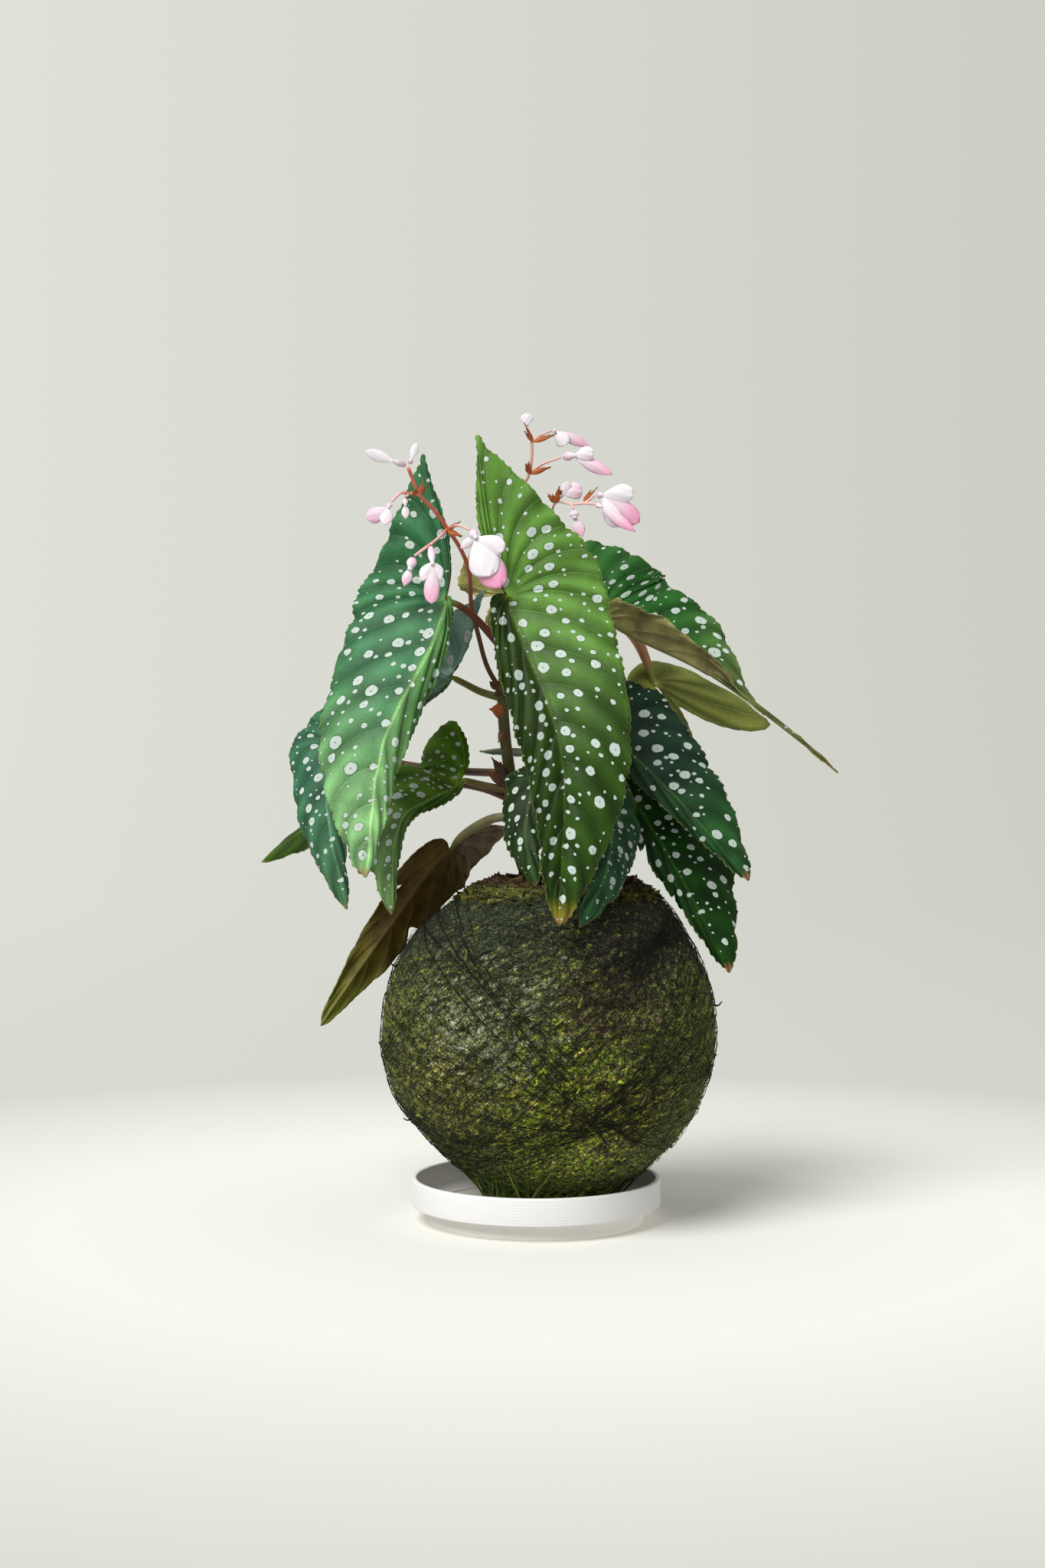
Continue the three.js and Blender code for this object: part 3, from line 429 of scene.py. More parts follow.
class BallSettings(bpy.types.PropertyGroup):
    """Moss, soil and thread of the ball"""
    radius: FloatProperty(name="Radius", description="Radius of the moss ball", default=75 * MM,
                          unit="LENGTH")
    tuft_length: FloatProperty(name="Tuft length", description="Length of the moss leaves",
                               default=1.0 * MM, unit="LENGTH")
    tufts: IntProperty(name="Tufts", description="Number of moss leaves on the ball", default=30000)
    fringe: IntProperty(name="Fringe", description="Number of fibres round the crown", default=4000)
    crumbs: IntProperty(name="Crumbs", description="Number of crumbs on the soil", default=1500)
    thread_radius: FloatProperty(name="Thread radius", description="Radius of the thread",
                                 default=0.13 * MM, unit="LENGTH")
    soil: FloatVectorProperty(name="Soil", description="Colour of the soil", subtype="COLOR", size=4,
                              default=linear("#261b10"))
    thread: FloatVectorProperty(name="Thread", description="Colour of the thread", subtype="COLOR", size=4,
                                default=linear("#12130c"))


class LeafSettings(bpy.types.PropertyGroup):
    """Blades, veins and spots of the leaves"""
    thickness: FloatProperty(name="Thickness", description="Thickness of the blade", default=0.5 * MM,
                             unit="LENGTH")
    vein_spacing: FloatProperty(name="Vein spacing", description="Space between side veins at the margin",
                                default=17 * MM, unit="LENGTH")
    quilt: FloatProperty(name="Quilting", description="Rise of the blade between side veins",
                         default=1.5 * MM, unit="LENGTH")
    tooth: FloatProperty(name="Teeth", description="Depth of the margin's teeth", default=0.8 * MM,
                         unit="LENGTH")
    spot: FloatProperty(name="Spot", description="Radius of the largest spots", default=2.5 * MM,
                        unit="LENGTH")
    spot_spacing: FloatProperty(name="Spot spacing", description="Distance between large spots",
                                default=10.4 * MM, unit="LENGTH")
    silver: FloatVectorProperty(name="Silver", description="Colour of the spots", subtype="COLOR", size=4,
                                default=linear("#cbd9d0"))


class FlowerSettings(bpy.types.PropertyGroup):
    """Petals, stalks and canes"""
    petal_thickness: FloatProperty(name="Petal thickness", description="Thickness of a petal",
                                   default=0.35 * MM, unit="LENGTH")
    cane_radius: FloatProperty(name="Cane radius", description="Radius of a cane at the soil",
                               default=3.0 * MM, unit="LENGTH")
    petiole_radius: FloatProperty(name="Petiole radius", description="Radius of a leaf's petiole",
                                  default=1.55 * MM, unit="LENGTH")
    stalk_radius: FloatProperty(name="Stalk radius", description="Radius of a flower stalk",
                                default=1 * MM, unit="LENGTH")
    white: FloatVectorProperty(name="White", description="Colour of the petals", subtype="COLOR", size=4,
                               default=linear("#efe9ee"))
    pink: FloatVectorProperty(name="Pink", description="Colour of the petals' pink ends", subtype="COLOR",
                              size=4, default=linear("#ee9fc2"))


class StageSettings(bpy.types.PropertyGroup):
    """Floor and light"""
    paint: FloatVectorProperty(name="Floor", description="Colour of the floor near the plant",
                               subtype="COLOR", size=4, default=linear("#e6e6df"))
    wall_left: FloatVectorProperty(name="Wall on the left", description="Tone of the wall near the light",
                                   subtype="COLOR", size=4, default=linear("#dfe1d9"))
    wall_right: FloatVectorProperty(name="Wall on the right", description="Tone of the wall in the shade",
                                    subtype="COLOR", size=4, default=linear("#cdcdc3"))
    key: FloatProperty(name="Key light", description="Strength of the main light in watts per square metre",
                       default=3.0)
    above: FloatProperty(name="Light from above", description="Brightness of the sky overhead", default=0.7)
    around: FloatProperty(name="Light from around", description="Brightness of the walls", default=0.34)
    below: FloatProperty(name="Light from below", description="Brightness of what the floor gives back",
                         default=0.95)


class KokedamaSettings(bpy.types.PropertyGroup):
    """All settings of the kokedama"""
    saucer: PointerProperty(type=SaucerSettings)
    ball: PointerProperty(type=BallSettings)
    leaf: PointerProperty(type=LeafSettings)
    flower: PointerProperty(type=FlowerSettings)
    stage: PointerProperty(type=StageSettings)


def add_node(tree, kind, settings=None, inputs=None):
    """Adds a shader node with its settings. An input is a value, or another node's output to link."""
    node = tree.nodes.new("ShaderNode" + kind)
    for key, value in (settings or {}).items():
        setattr(node, key, value)
    for key, value in (inputs or {}).items():
        if isinstance(value, bpy.types.NodeSocket):
            tree.links.new(value, node.inputs[key])
        else:
            node.inputs[key].default_value = value
    return node


def new_material(name):
    """An empty material and its node tree."""
    material = bpy.data.materials.new(name)
    material.use_nodes = True
    material.node_tree.nodes.clear()
    return material, material.node_tree


def close_material(tree, shader):
    """Links the shader to the material's surface."""
    add_node(tree, "OutputMaterial", inputs={"Surface": shader.outputs[0]})


def glazed_stoneware(settings):
    """White satin glaze over a turned stoneware band: faint throwing lines, and a warmer bare foot that is
    set near white, in part as painted light from below.
    """
    material, tree = new_material("satin_glazed_stoneware")
    place = add_node(tree, "TexCoord").outputs["Object"]
    split = add_node(tree, "SeparateXYZ", inputs={0: place})
    # Throwing lines stand 1.3 mm apart up the band
    line_scale = 2 * math.pi / (1.3 * MM)
    wobble = add_node(tree, "TexNoise", inputs={"Vector": place, "Scale": 1 / (16.67 * MM), "Detail": 2.0})
    height = add_node(tree, "Math", {"operation": "MULTIPLY_ADD"},
                      {0: wobble.outputs[0], 1: 0.6 * MM, 2: split.outputs[2]})
    turned = add_node(tree, "Math", {"operation": "MULTIPLY"}, {0: height.outputs[0], 1: line_scale})
    lines = add_node(tree, "Math", {"operation": "SINE"}, {0: turned.outputs[0]})
    grain = add_node(tree, "TexNoise", inputs={"Vector": place, "Scale": 1 / (1.11 * MM), "Detail": 3.0})
    relief = add_node(tree, "Math", {"operation": "MULTIPLY_ADD"},
                      {0: lines.outputs[0], 1: 0.35, 2: grain.outputs[0]})
    bump = add_node(tree, "Bump", inputs={"Strength": 0.35, "Distance": 0.12 * MM,
                                          "Height": relief.outputs[0]})
    foot = add_node(tree, "MapRange", inputs={0: split.outputs[2], 1: settings.foot_height - 0.4 * MM,
                                              2: settings.foot_height + 0.3 * MM})
    clouds = add_node(tree, "TexNoise", inputs={"Vector": place, "Scale": 1 / (22.2 * MM), "Detail": 4.0})
    tone = add_node(tree, "MapRange", inputs={0: clouds.outputs[0], 3: 0.93, 4: 1.03})
    colour = add_node(tree, "Mix", {"data_type": "RGBA"},
                      {MIX_FACTOR: foot.outputs[0], MIX_A: settings.clay_and_painted_light[:], MIX_B: settings.glaze[:]})
    shaded = add_node(tree, "VectorMath", {"operation": "SCALE"},
                      {0: colour.outputs[MIX_RESULT], "Scale": tone.outputs[0]})
    rough = add_node(tree, "MapRange", inputs={0: foot.outputs[0], 3: 0.75, 4: 0.38})
    shader = add_node(tree, "BsdfPrincipled", inputs={
        "Base Color": shaded.outputs[0], "Roughness": rough.outputs[0], "IOR": 1.5,
        "Normal": bump.outputs[0]})
    close_material(tree, shader)
    return material


def plant_matter(name, roughness, specular, grain_mm, relief_mm, mottle=0.25):
    """Living or dead plant tissue in the colour of the piece's tint attribute, mottled, with grain."""
    material, tree = new_material(name)
    place = add_node(tree, "TexCoord").outputs["Object"]
    tint = add_node(tree, "Attribute", {"attribute_name": "tint"})
    fine = add_node(tree, "TexNoise", inputs={"Vector": place, "Scale": 1 / (grain_mm * MM), "Detail": 1.0})
    broad = add_node(tree, "TexNoise", inputs={"Vector": place, "Scale": 0.12 / (grain_mm * MM),
                                               "Detail": 1.0})
    both = add_node(tree, "Math", {"operation": "ADD"}, {0: fine.outputs[0], 1: broad.outputs[0]})
    tone = add_node(tree, "MapRange", inputs={0: both.outputs[0], 1: 0.6, 2: 1.4, 3: 1 - mottle,
                                              4: 1 + mottle})
    colour = add_node(tree, "VectorMath", {"operation": "SCALE"},
                      {0: tint.outputs["Color"], "Scale": tone.outputs[0]})
    bump = add_node(tree, "Bump", inputs={"Strength": 0.5, "Distance": relief_mm * MM,
                                          "Height": fine.outputs[0]})
    shader = add_node(tree, "BsdfPrincipled", inputs={
        "Base Color": colour.outputs[0], "Roughness": roughness, "Specular IOR Level": specular,
        "Normal": bump.outputs[0]})
    close_material(tree, shader)
    return material


def moss_mat():
    """Damp sheet moss pressed flat by the thread: small cushions of leaf tips, each of its own green, with
    painted shade darkening the gaps between them. The cushions are about a millimetre across."""
    material, tree = new_material("pressed_sheet_moss")
    place = add_node(tree, "TexCoord").outputs["Object"]
    tint = add_node(tree, "Attribute", {"attribute_name": "tint"})
    cushions = add_node(tree, "TexVoronoi", inputs={"Vector": place, "Scale": 1 / (0.9 * MM)})
    own = add_node(tree, "SeparateColor", inputs={0: cushions.outputs["Color"]})
    bright = add_node(tree, "MapRange", inputs={0: own.outputs[0], 1: 0.2, 2: 1.0, 3: 0.5, 4: 2.0})
    # Painted shade: the colour darkens towards the gaps between the cushions
    gap = add_node(tree, "MapRange", inputs={0: cushions.outputs["Distance"], 1: 0.2, 2: 0.75, 3: 1.15,
                                             4: 0.3})
    tone = add_node(tree, "Math", {"operation": "MULTIPLY"}, {0: bright.outputs[0], 1: gap.outputs[0]})
    colour = add_node(tree, "VectorMath", {"operation": "SCALE"},
                      {0: tint.outputs["Color"], "Scale": tone.outputs[0]})
    grit = add_node(tree, "TexNoise", inputs={"Vector": place, "Scale": 1 / (1.2 * MM), "Detail": 1.0})
    bump = add_node(tree, "Bump", inputs={"Strength": 1.0, "Distance": 0.9 * MM,
                                          "Height": grit.outputs[0]})
    shader = add_node(tree, "BsdfPrincipled", inputs={
        "Base Color": colour.outputs[0], "Roughness": 0.9, "Specular IOR Level": 0.2,
        "Normal": bump.outputs[0]})
    close_material(tree, shader)
    return material


def spun_thread(settings):
    """Dull dark sewing thread. Its tone changes every 0.7 mm, as its plies turn round it."""
    material, tree = new_material("spun_cotton_thread")
    place = add_node(tree, "TexCoord").outputs["Object"]
    plies = add_node(tree, "TexNoise", inputs={"Vector": place, "Scale": 1 / (0.714 * MM), "Detail": 2.0})
    tone = add_node(tree, "MapRange", inputs={0: plies.outputs[0], 3: 0.5, 4: 1.8})
    colour = add_node(tree, "VectorMath", {"operation": "SCALE"},
                      {0: settings.thread[:3], "Scale": tone.outputs[0]})
    shader = add_node(tree, "BsdfPrincipled", inputs={
        "Base Color": colour.outputs[0], "Roughness": 0.85, "Specular IOR Level": 0.15})
    close_material(tree, shader)
    return material


def leaf_pattern(tree):
    """A blade's own coordinates, and how far each point lies from the nearest side vein, in shares of
    the space between veins and in millimetres. A pattern on the plan has its scale in cells per
    millimetre."""
    maps = {key: add_node(tree, "UVMap", {"uv_map": key}).outputs[0] for key in LEAF_MAPS}
    parts = {key: add_node(tree, "SeparateXYZ", inputs={0: maps[key]}).outputs
             for key in ("veins", "edges", "ribs")}
    # A side vein lies on every whole number of the vein count
    half = add_node(tree, "Math", {"operation": "ADD"}, {0: parts["veins"][0], 1: 0.5})
    part = add_node(tree, "Math", {"operation": "FRACT"}, {0: half.outputs[0]})
    centred = add_node(tree, "Math", {"operation": "SUBTRACT"}, {0: part.outputs[0], 1: 0.5})
    off_vein = add_node(tree, "Math", {"operation": "ABSOLUTE"}, {0: centred.outputs[0]}).outputs[0]
    vein_mm = add_node(tree, "Math", {"operation": "MULTIPLY"}, {0: off_vein, 1: parts["veins"][1]})
    return maps, parts, off_vein, vein_mm.outputs[0]


def spot_masks(tree, settings, maps, parts):
    """Where the silver spots lie, with the dark rings round them and the green dots in their middles: a
    layer of large spots and one of small ones, drawn out along the side veins."""
    # Outlines wander by about a third of a millimetre
    wander = add_node(tree, "TexNoise", {"noise_dimensions": "2D"},
                      {"Vector": maps["plan"], "Scale": 0.4, "Detail": 2.0})
    shift = add_node(tree, "VectorMath", {"operation": "MULTIPLY_ADD"},
                     {0: wander.outputs["Color"], 1: (0.9, 0.9, 0), 2: maps["plan"]})
    # Spots shrink within 6 mm of the margin, beside the midrib and in the lobe
    shrinks = [add_node(tree, "MapRange", inputs=inputs).outputs[0] for inputs in (
        {0: parts["edges"][0], 1: 0.5, 2: 6.0, 3: 0.35, 4: 1.0},
        {0: parts["ribs"][0], 1: 0.8, 2: 3.0, 3: 0.45, 4: 1.0},
        {0: parts["edges"][1], 1: -0.3, 2: 0.0, 3: 0.66, 4: 1.0})]
    largest = settings.spot / MM
    spacing = settings.spot_spacing / MM
    # Each layer has its spacing, smallest and largest radius in millimetres, and share of cells filled
    large = (spacing, 0.48 * largest, largest, 0.88)
    small = (spacing * 0.5, 0.17 * largest, 0.4 * largest, 0.5)
    masks = {"spot": None, "halo": None, "dot": None}
    for gap, low, high, kept in (large, small):
        cells = add_node(tree, "TexVoronoi", {"voronoi_dimensions": "2D"},
                         {"Vector": shift.outputs[0], "Scale": 1 / gap, "Randomness": 0.75})
        chance = add_node(tree, "SeparateColor", inputs={0: cells.outputs["Color"]}).outputs
        away = add_node(tree, "VectorMath", {"operation": "SUBTRACT"},
                        {0: shift.outputs[0], 1: cells.outputs["Position"]})
        drawn = add_node(tree, "VectorMath", {"operation": "DOT_PRODUCT"},
                         {0: away.outputs[0], 1: maps["grain"]})
        beside = add_node(tree, "VectorMath", {"operation": "CROSS_PRODUCT"},
                          {0: away.outputs[0], 1: maps["grain"]})
        beside_z = add_node(tree, "SeparateXYZ", inputs={0: beside.outputs[0]})
        # A spot is longer along the veins than across them
        oval = add_node(tree, "Math", {"operation": "MULTIPLY"}, {0: drawn.outputs["Value"], 1: 0.76})
        joined = add_node(tree, "CombineXYZ", inputs={0: oval.outputs[0], 1: beside_z.outputs[2]})
        distance = add_node(tree, "VectorMath", {"operation": "LENGTH"}, {0: joined.outputs[0]})
        radius = add_node(tree, "MapRange", inputs={0: chance[0], 3: low, 4: high})
        held = add_node(tree, "Math", {"operation": "LESS_THAN"}, {0: chance[1], 1: kept}).outputs[0]
        for shrink in shrinks:
            held = add_node(tree, "Math", {"operation": "MULTIPLY"}, {0: held, 1: shrink}).outputs[0]
        if gap < spacing:
            # A small spot keeps clear of the large ones
            near = add_node(tree, "TexVoronoi", {"voronoi_dimensions": "2D"},
                            {"Vector": cells.outputs["Position"], "Scale": 1 / spacing, "Randomness": 0.75})
            clear = add_node(tree, "Math", {"operation": "GREATER_THAN"},
                             {0: near.outputs["Distance"], 1: 1.4 * largest / spacing}).outputs[0]
            held = add_node(tree, "Math", {"operation": "MULTIPLY"}, {0: held, 1: clear}).outputs[0]
        size = add_node(tree, "Math", {"operation": "MULTIPLY_ADD"},
                        {0: radius.outputs[0], 1: held, 2: 0.001})
        ratio = add_node(tree, "Math", {"operation": "DIVIDE"},
                         {0: distance.outputs["Value"], 1: size.outputs[0]})
        for key, start, end in (("spot", 1.04, 0.9), ("halo", 1.35, 1.0), ("dot", 0.17, 0.07)):
            mask = add_node(tree, "MapRange", inputs={0: ratio.outputs[0], 1: start, 2: end}).outputs[0]
            masks[key] = mask if masks[key] is None else add_node(
                tree, "Math", {"operation": "MAXIMUM"}, {0: masks[key], 1: mask}).outputs[0]
    return masks


def veined_green(tree, maps, parts, off_vein, vein_mm, tint):
    """The blade's green before its spots, and its relief. The green is darker in the creases of the side
    veins and paler on the rise between them, partly the leaf's own colour and partly painted shade in the
    creases and painted light on the rises, with a pale midrib that fades towards the tip."""
    midrib = add_node(tree, "MapRange", inputs={0: parts["ribs"][0], 1: 1.05, 2: 0.5})
    fade = add_node(tree, "MapRange", inputs={0: parts["edges"][1], 1: 0.0, 2: 0.9, 3: 0.95, 4: 0.35})
    faded = add_node(tree, "Math", {"operation": "MULTIPLY"}, {0: midrib.outputs[0], 1: fade.outputs[0]})
    # A pale star reaches 5 mm from the joint
    star = add_node(tree, "MapRange", inputs={0: parts["ribs"][1], 1: 5.0, 2: 1.0, 4: 0.9})
    pale = add_node(tree, "Math", {"operation": "MAXIMUM"}, {0: faded.outputs[0], 1: star.outputs[0]})
    # Painted shade and light, in part: the green darkens into each side vein's crease and lightens on the
    # rise between veins
    rise = add_node(tree, "MapRange", inputs={0: off_vein, 2: 0.45, 3: 0.56, 4: 1.32})
    crease = add_node(tree, "MapRange", inputs={0: vein_mm, 1: 0.15, 2: 0.7, 3: 0.75, 4: 1.0})
    line = add_node(tree, "MapRange", inputs={0: vein_mm, 1: 0.2, 2: 0.65, 3: 1.6, 4: 1.0})
    # Clouds of about 17 mm, and skin cells of about 0.7 mm, coarser than real ones so that they show
    clouds = add_node(tree, "TexNoise", {"noise_dimensions": "2D"},
                      {"Vector": maps["plan"], "Scale": 0.06, "Detail": 3.0})
    cloud = add_node(tree, "MapRange", inputs={0: clouds.outputs[0], 1: 0.3, 2: 0.7, 3: 0.76, 4: 1.26})
    skin = add_node(tree, "TexVoronoi", {"voronoi_dimensions": "2D"}, {"Vector": maps["plan"], "Scale": 1.5})
    skin_tone = add_node(tree, "MapRange", inputs={0: skin.outputs["Distance"], 3: 1.2, 4: 0.78})
    tones = rise
    for layer in (line, cloud, skin_tone):
        tones = add_node(tree, "Math", {"operation": "MULTIPLY"}, {0: tones.outputs[0], 1: layer.outputs[0]})
    green = add_node(tree, "VectorMath", {"operation": "SCALE"}, {0: tint, "Scale": tones.outputs[0]})
    light_green = add_node(tree, "VectorMath", {"operation": "MULTIPLY_ADD"},
                           {0: green.outputs[0], 1: (2.6, 2.3, 2.4), 2: (0.02, 0.02, 0.005)})
    veined = add_node(tree, "Mix", {"data_type": "RGBA"},
                      {MIX_FACTOR: pale.outputs[0], MIX_A: green.outputs[0],
                       MIX_B: light_green.outputs[0]})
    relief = add_node(tree, "Math", {"operation": "MULTIPLY_ADD"},
                      {0: skin.outputs["Distance"], 1: -0.15, 2: crease.outputs[0]})
    return veined.outputs[MIX_RESULT], relief.outputs[0]


def leaf_upper(settings):
    """Upper side of an angel-wing begonia leaf: satin green with silver spots. The spots are air under
    the skin, so they are dull."""
    material, tree = new_material("begonia_leaf_upper_side")
    maps, parts, off_vein, vein_mm = leaf_pattern(tree)
    tint = add_node(tree, "Attribute", {"attribute_name": "tint"})
    colour, relief = veined_green(tree, maps, parts, off_vein, vein_mm, tint.outputs["Color"])
    masks = spot_masks(tree, settings, maps, parts)
    flecks = add_node(tree, "TexNoise", {"noise_dimensions": "2D"},
                      {"Vector": maps["plan"], "Scale": 2.4, "Detail": 1.0})
    fleck = add_node(tree, "MapRange", inputs={0: flecks.outputs[0], 1: 0.35, 2: 0.6, 3: 0.76, 4: 1.0})
    silver = add_node(tree, "VectorMath", {"operation": "SCALE"},
                      {0: settings.silver[:3], "Scale": fleck.outputs[0]})
    # Each coat covers the one before it: the ring, the spot and its dot. The tint's alpha says how much of
    # the spotting a leaf shows, and where it is lowered on a leaf in shade it dims the spots as painted
    # shade.
    shown = {}
    for key, strength, coat in (("halo", 0.5, linear("#1c3a16")), ("spot", 1.0, silver.outputs[0]),
                                ("dot", 1.0, linear("#4d6e4c"))):
        part = add_node(tree, "Math", {"operation": "MULTIPLY"}, {0: masks[key], 1: tint.outputs["Alpha"]})
        share = add_node(tree, "Math", {"operation": "MULTIPLY"}, {0: part.outputs[0], 1: strength})
        shown[key] = share.outputs[0]
        colour = add_node(tree, "Mix", {"data_type": "RGBA"},
                          {MIX_FACTOR: shown[key], MIX_A: colour, MIX_B: coat}).outputs[MIX_RESULT]
    edge = add_node(tree, "MapRange", inputs={0: parts["edges"][0], 1: 0.45, 2: 0.15, 4: 0.55})
    rimmed = add_node(tree, "Mix", {"data_type": "RGBA"},
                      {MIX_FACTOR: edge.outputs[0], MIX_A: colour, MIX_B: linear("#8d8a52")})
    bump = add_node(tree, "Bump", inputs={"Strength": 0.6, "Distance": 0.8 * MM, "Height": relief})
    rough = add_node(tree, "MapRange", inputs={0: shown["spot"], 3: 0.42, 4: 0.62})
    shader = add_node(tree, "BsdfPrincipled", inputs={
        "Base Color": rimmed.outputs[MIX_RESULT], "Roughness": rough.outputs[0],
        "Specular IOR Level": 0.15, "Normal": bump.outputs[0]})
    close_material(tree, shader)
    return material


def leaf_under():
    """Underside of the leaf: matt olive to wine brown, with raised veins and darker mottling."""
    material, tree = new_material("begonia_leaf_underside")
    maps, parts, _, vein_mm = leaf_pattern(tree)
    tint = add_node(tree, "Attribute", {"attribute_name": "tint"}).outputs["Color"]
    side_vein = add_node(tree, "MapRange", inputs={0: vein_mm, 1: 0.7, 2: 0.2, 4: 0.5})
    midrib = add_node(tree, "MapRange", inputs={0: parts["ribs"][0], 1: 1.4, 2: 0.5})
    ribs = add_node(tree, "Math", {"operation": "MAXIMUM"}, {0: side_vein.outputs[0], 1: midrib.outputs[0]})
    mottle = add_node(tree, "TexNoise", {"noise_dimensions": "2D"},
                      {"Vector": maps["plan"], "Scale": 0.12, "Detail": 4.0})
    tone = add_node(tree, "MapRange", inputs={0: mottle.outputs[0], 1: 0.3, 2: 0.7, 3: 0.6, 4: 1.4})
    brown = add_node(tree, "VectorMath", {"operation": "SCALE"}, {0: tint, "Scale": tone.outputs[0]})
    rib_share = add_node(tree, "Math", {"operation": "MULTIPLY"}, {0: ribs.outputs[0], 1: 0.35})
    colour = add_node(tree, "Mix", {"data_type": "RGBA"},
                      {MIX_FACTOR: rib_share.outputs[0], MIX_A: brown.outputs[0],
                       MIX_B: linear("#8a7a4a")})
    net = add_node(tree, "TexVoronoi", {"voronoi_dimensions": "2D", "feature": "DISTANCE_TO_EDGE"},
                   {"Vector": maps["plan"], "Scale": 0.5})
    raised = add_node(tree, "MapRange", inputs={0: net.outputs["Distance"], 2: 0.12, 3: 0.4, 4: 0.0})
    relief = add_node(tree, "Math", {"operation": "MULTIPLY_ADD"},
                      {0: ribs.outputs[0], 1: 2.5, 2: raised.outputs[0]})
    bump = add_node(tree, "Bump", inputs={"Strength": 0.6, "Distance": 0.25 * MM,
                                          "Height": relief.outputs[0]})
    shader = add_node(tree, "BsdfPrincipled", inputs={
        "Base Color": colour.outputs[MIX_RESULT], "Roughness": 0.62, "Specular IOR Level": 0.35,
        "Normal": bump.outputs[0]})
    close_material(tree, shader)
    return material


def matt_paint(settings):
    """Flat wall paint without gloss. Near the plant it scatters light and takes shadows. Further off it
    glows with its own tone as painted light, even but lighter on the side that the light comes from."""
    material, tree = new_material("matt_wall_paint")
    place = add_node(tree, "TexCoord").outputs["Object"]
    split = add_node(tree, "SeparateXYZ", inputs={0: place})
    away = add_node(tree, "VectorMath", {"operation": "LENGTH"}, {0: place})
    # Painted light: the far wall glows, lighter on the left, towards the light, than on the right
    side = add_node(tree, "MapRange", inputs={0: split.outputs[0], 1: -0.9, 2: 0.9})
    tone = add_node(tree, "Mix", {"data_type": "RGBA"},
                    {MIX_FACTOR: side.outputs[0], MIX_A: settings.wall_left[:],
                     MIX_B: settings.wall_right[:]})
    far = add_node(tree, "Emission", inputs={"Color": tone.outputs[MIX_RESULT]})
    near = add_node(tree, "BsdfDiffuse", inputs={"Color": settings.paint[:], "Roughness": 0.0})
    share = add_node(tree, "MapRange", inputs={0: away.outputs["Value"], 1: 0.22, 2: 0.5})
    shader = add_node(tree, "MixShader", inputs={0: share.outputs[0], 1: near.outputs[0],
                                                 2: far.outputs[0]})
    material.cycles.emission_sampling = "NONE"
    close_material(tree, shader)
    return material


def make_piece(shape, name, materials, slot=None, nodes=()):
    """Turns a bmesh into a piece that rides on the plant's one body and stands for the named nodes."""
    for face in shape.faces:
        face.smooth = True
    mesh = bpy.data.meshes.new(name)
    shape.to_mesh(mesh)
    shape.free()
    for material in materials:
        mesh.materials.append(material)
    piece = bpy.data.objects.new(name, mesh)
    bpy.context.scene.collection.objects.link(piece)
    if slot is None:
        piece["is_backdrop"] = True
        return piece
    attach(piece, "root")
    if nodes:
        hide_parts(*nodes)
    return piece


def lathe(profile, steps, closed=True):
    """A shape turned from (radius, height) points. A closed one starts and ends on the axis."""
    shape = bmesh.new()
    points = [shape.verts.new((radius, 0, height)) for radius, height in profile]
    edges = [shape.edges.new(pair) for pair in zip(points, points[1:])]
    bmesh.ops.spin(shape, geom=points + edges, cent=(0, 0, 0), axis=(0, 0, 1), angle=2 * math.pi,
                   steps=steps, use_merge=True)
    bmesh.ops.remove_doubles(shape, verts=shape.verts, dist=1e-6)
    if closed:
        bmesh.ops.recalc_face_normals(shape, faces=shape.faces)
    return shape


def arc(radius, start, end, count):
    """Points round the ball's centre in its profile, from one angle off the vertical to another."""
    angles = [start + (end - start) * k / count for k in range(count + 1)]
    return [(radius * math.sin(angle), radius * math.cos(angle)) for angle in angles]


def rounded(profile, edge, segments=4):
    """The profile with every corner between its two ends rounded to the edge size."""
    points = [profile[0]]
    for before, corner, after in zip(profile, profile[1:], profile[2:]):
        corner, before, after = Vector(corner), Vector(before), Vector(after)
        reach_in = min(edge, (before - corner).length * 0.45)
        reach_out = min(edge, (after - corner).length * 0.45)
        start = corner + (before - corner).normalized() * reach_in
        end = corner + (after - corner).normalized() * reach_out
        for k in range(segments + 1):
            share = k / segments
            point = start * (1 - share) ** 2 + corner * 2 * share * (1 - share) + end * share ** 2
            points.append(tuple(point))
    return points + [profile[-1]]


def spline(points):
    """A centripetal Catmull-Rom curve through the points, as a function of shares of 0 to 1."""
    knots = np.array([tuple(point) for point in points], float)
    chain = np.vstack([2 * knots[0] - knots[1], knots, 2 * knots[-1] - knots[-2]])
    gaps = np.sqrt(np.linalg.norm(np.diff(chain, axis=0), axis=1))

    def curve(share):
        place = np.clip(np.asarray(share, float), 0, 1) * (len(knots) - 1)
        k = np.minimum(place.astype(int), len(knots) - 2)
        t = (place - k)[..., None]
        before, start, end, after = (chain[k + step] for step in range(4))
        gap_in, gap, gap_out = (gaps[k + step][..., None] for step in range(3))
        leave = gap * ((start - before) / gap_in - (end - before) / (gap_in + gap) + (end - start) / gap)
        arrive = gap * ((end - start) / gap - (after - start) / (gap + gap_out) + (after - end) / gap_out)
        return (start + leave * t + (3 * (end - start) - 2 * leave - arrive) * t ** 2
                + (2 * (start - end) + leave + arrive) * t ** 3)

    return curve


def even_path(points, steps):
    """Evenly spaced points along the smooth curve through some points."""
    curve = spline(points)
    samples = curve(np.linspace(0, 1, 40 * len(points)))
    lengths = np.append(0, np.cumsum(np.linalg.norm(np.diff(samples, axis=0), axis=1)))
    wanted = np.linspace(0, lengths[-1], steps + 1)
    return [Vector([np.interp(goal, lengths, samples[:, axis]) for axis in range(3)]) for goal in wanted]


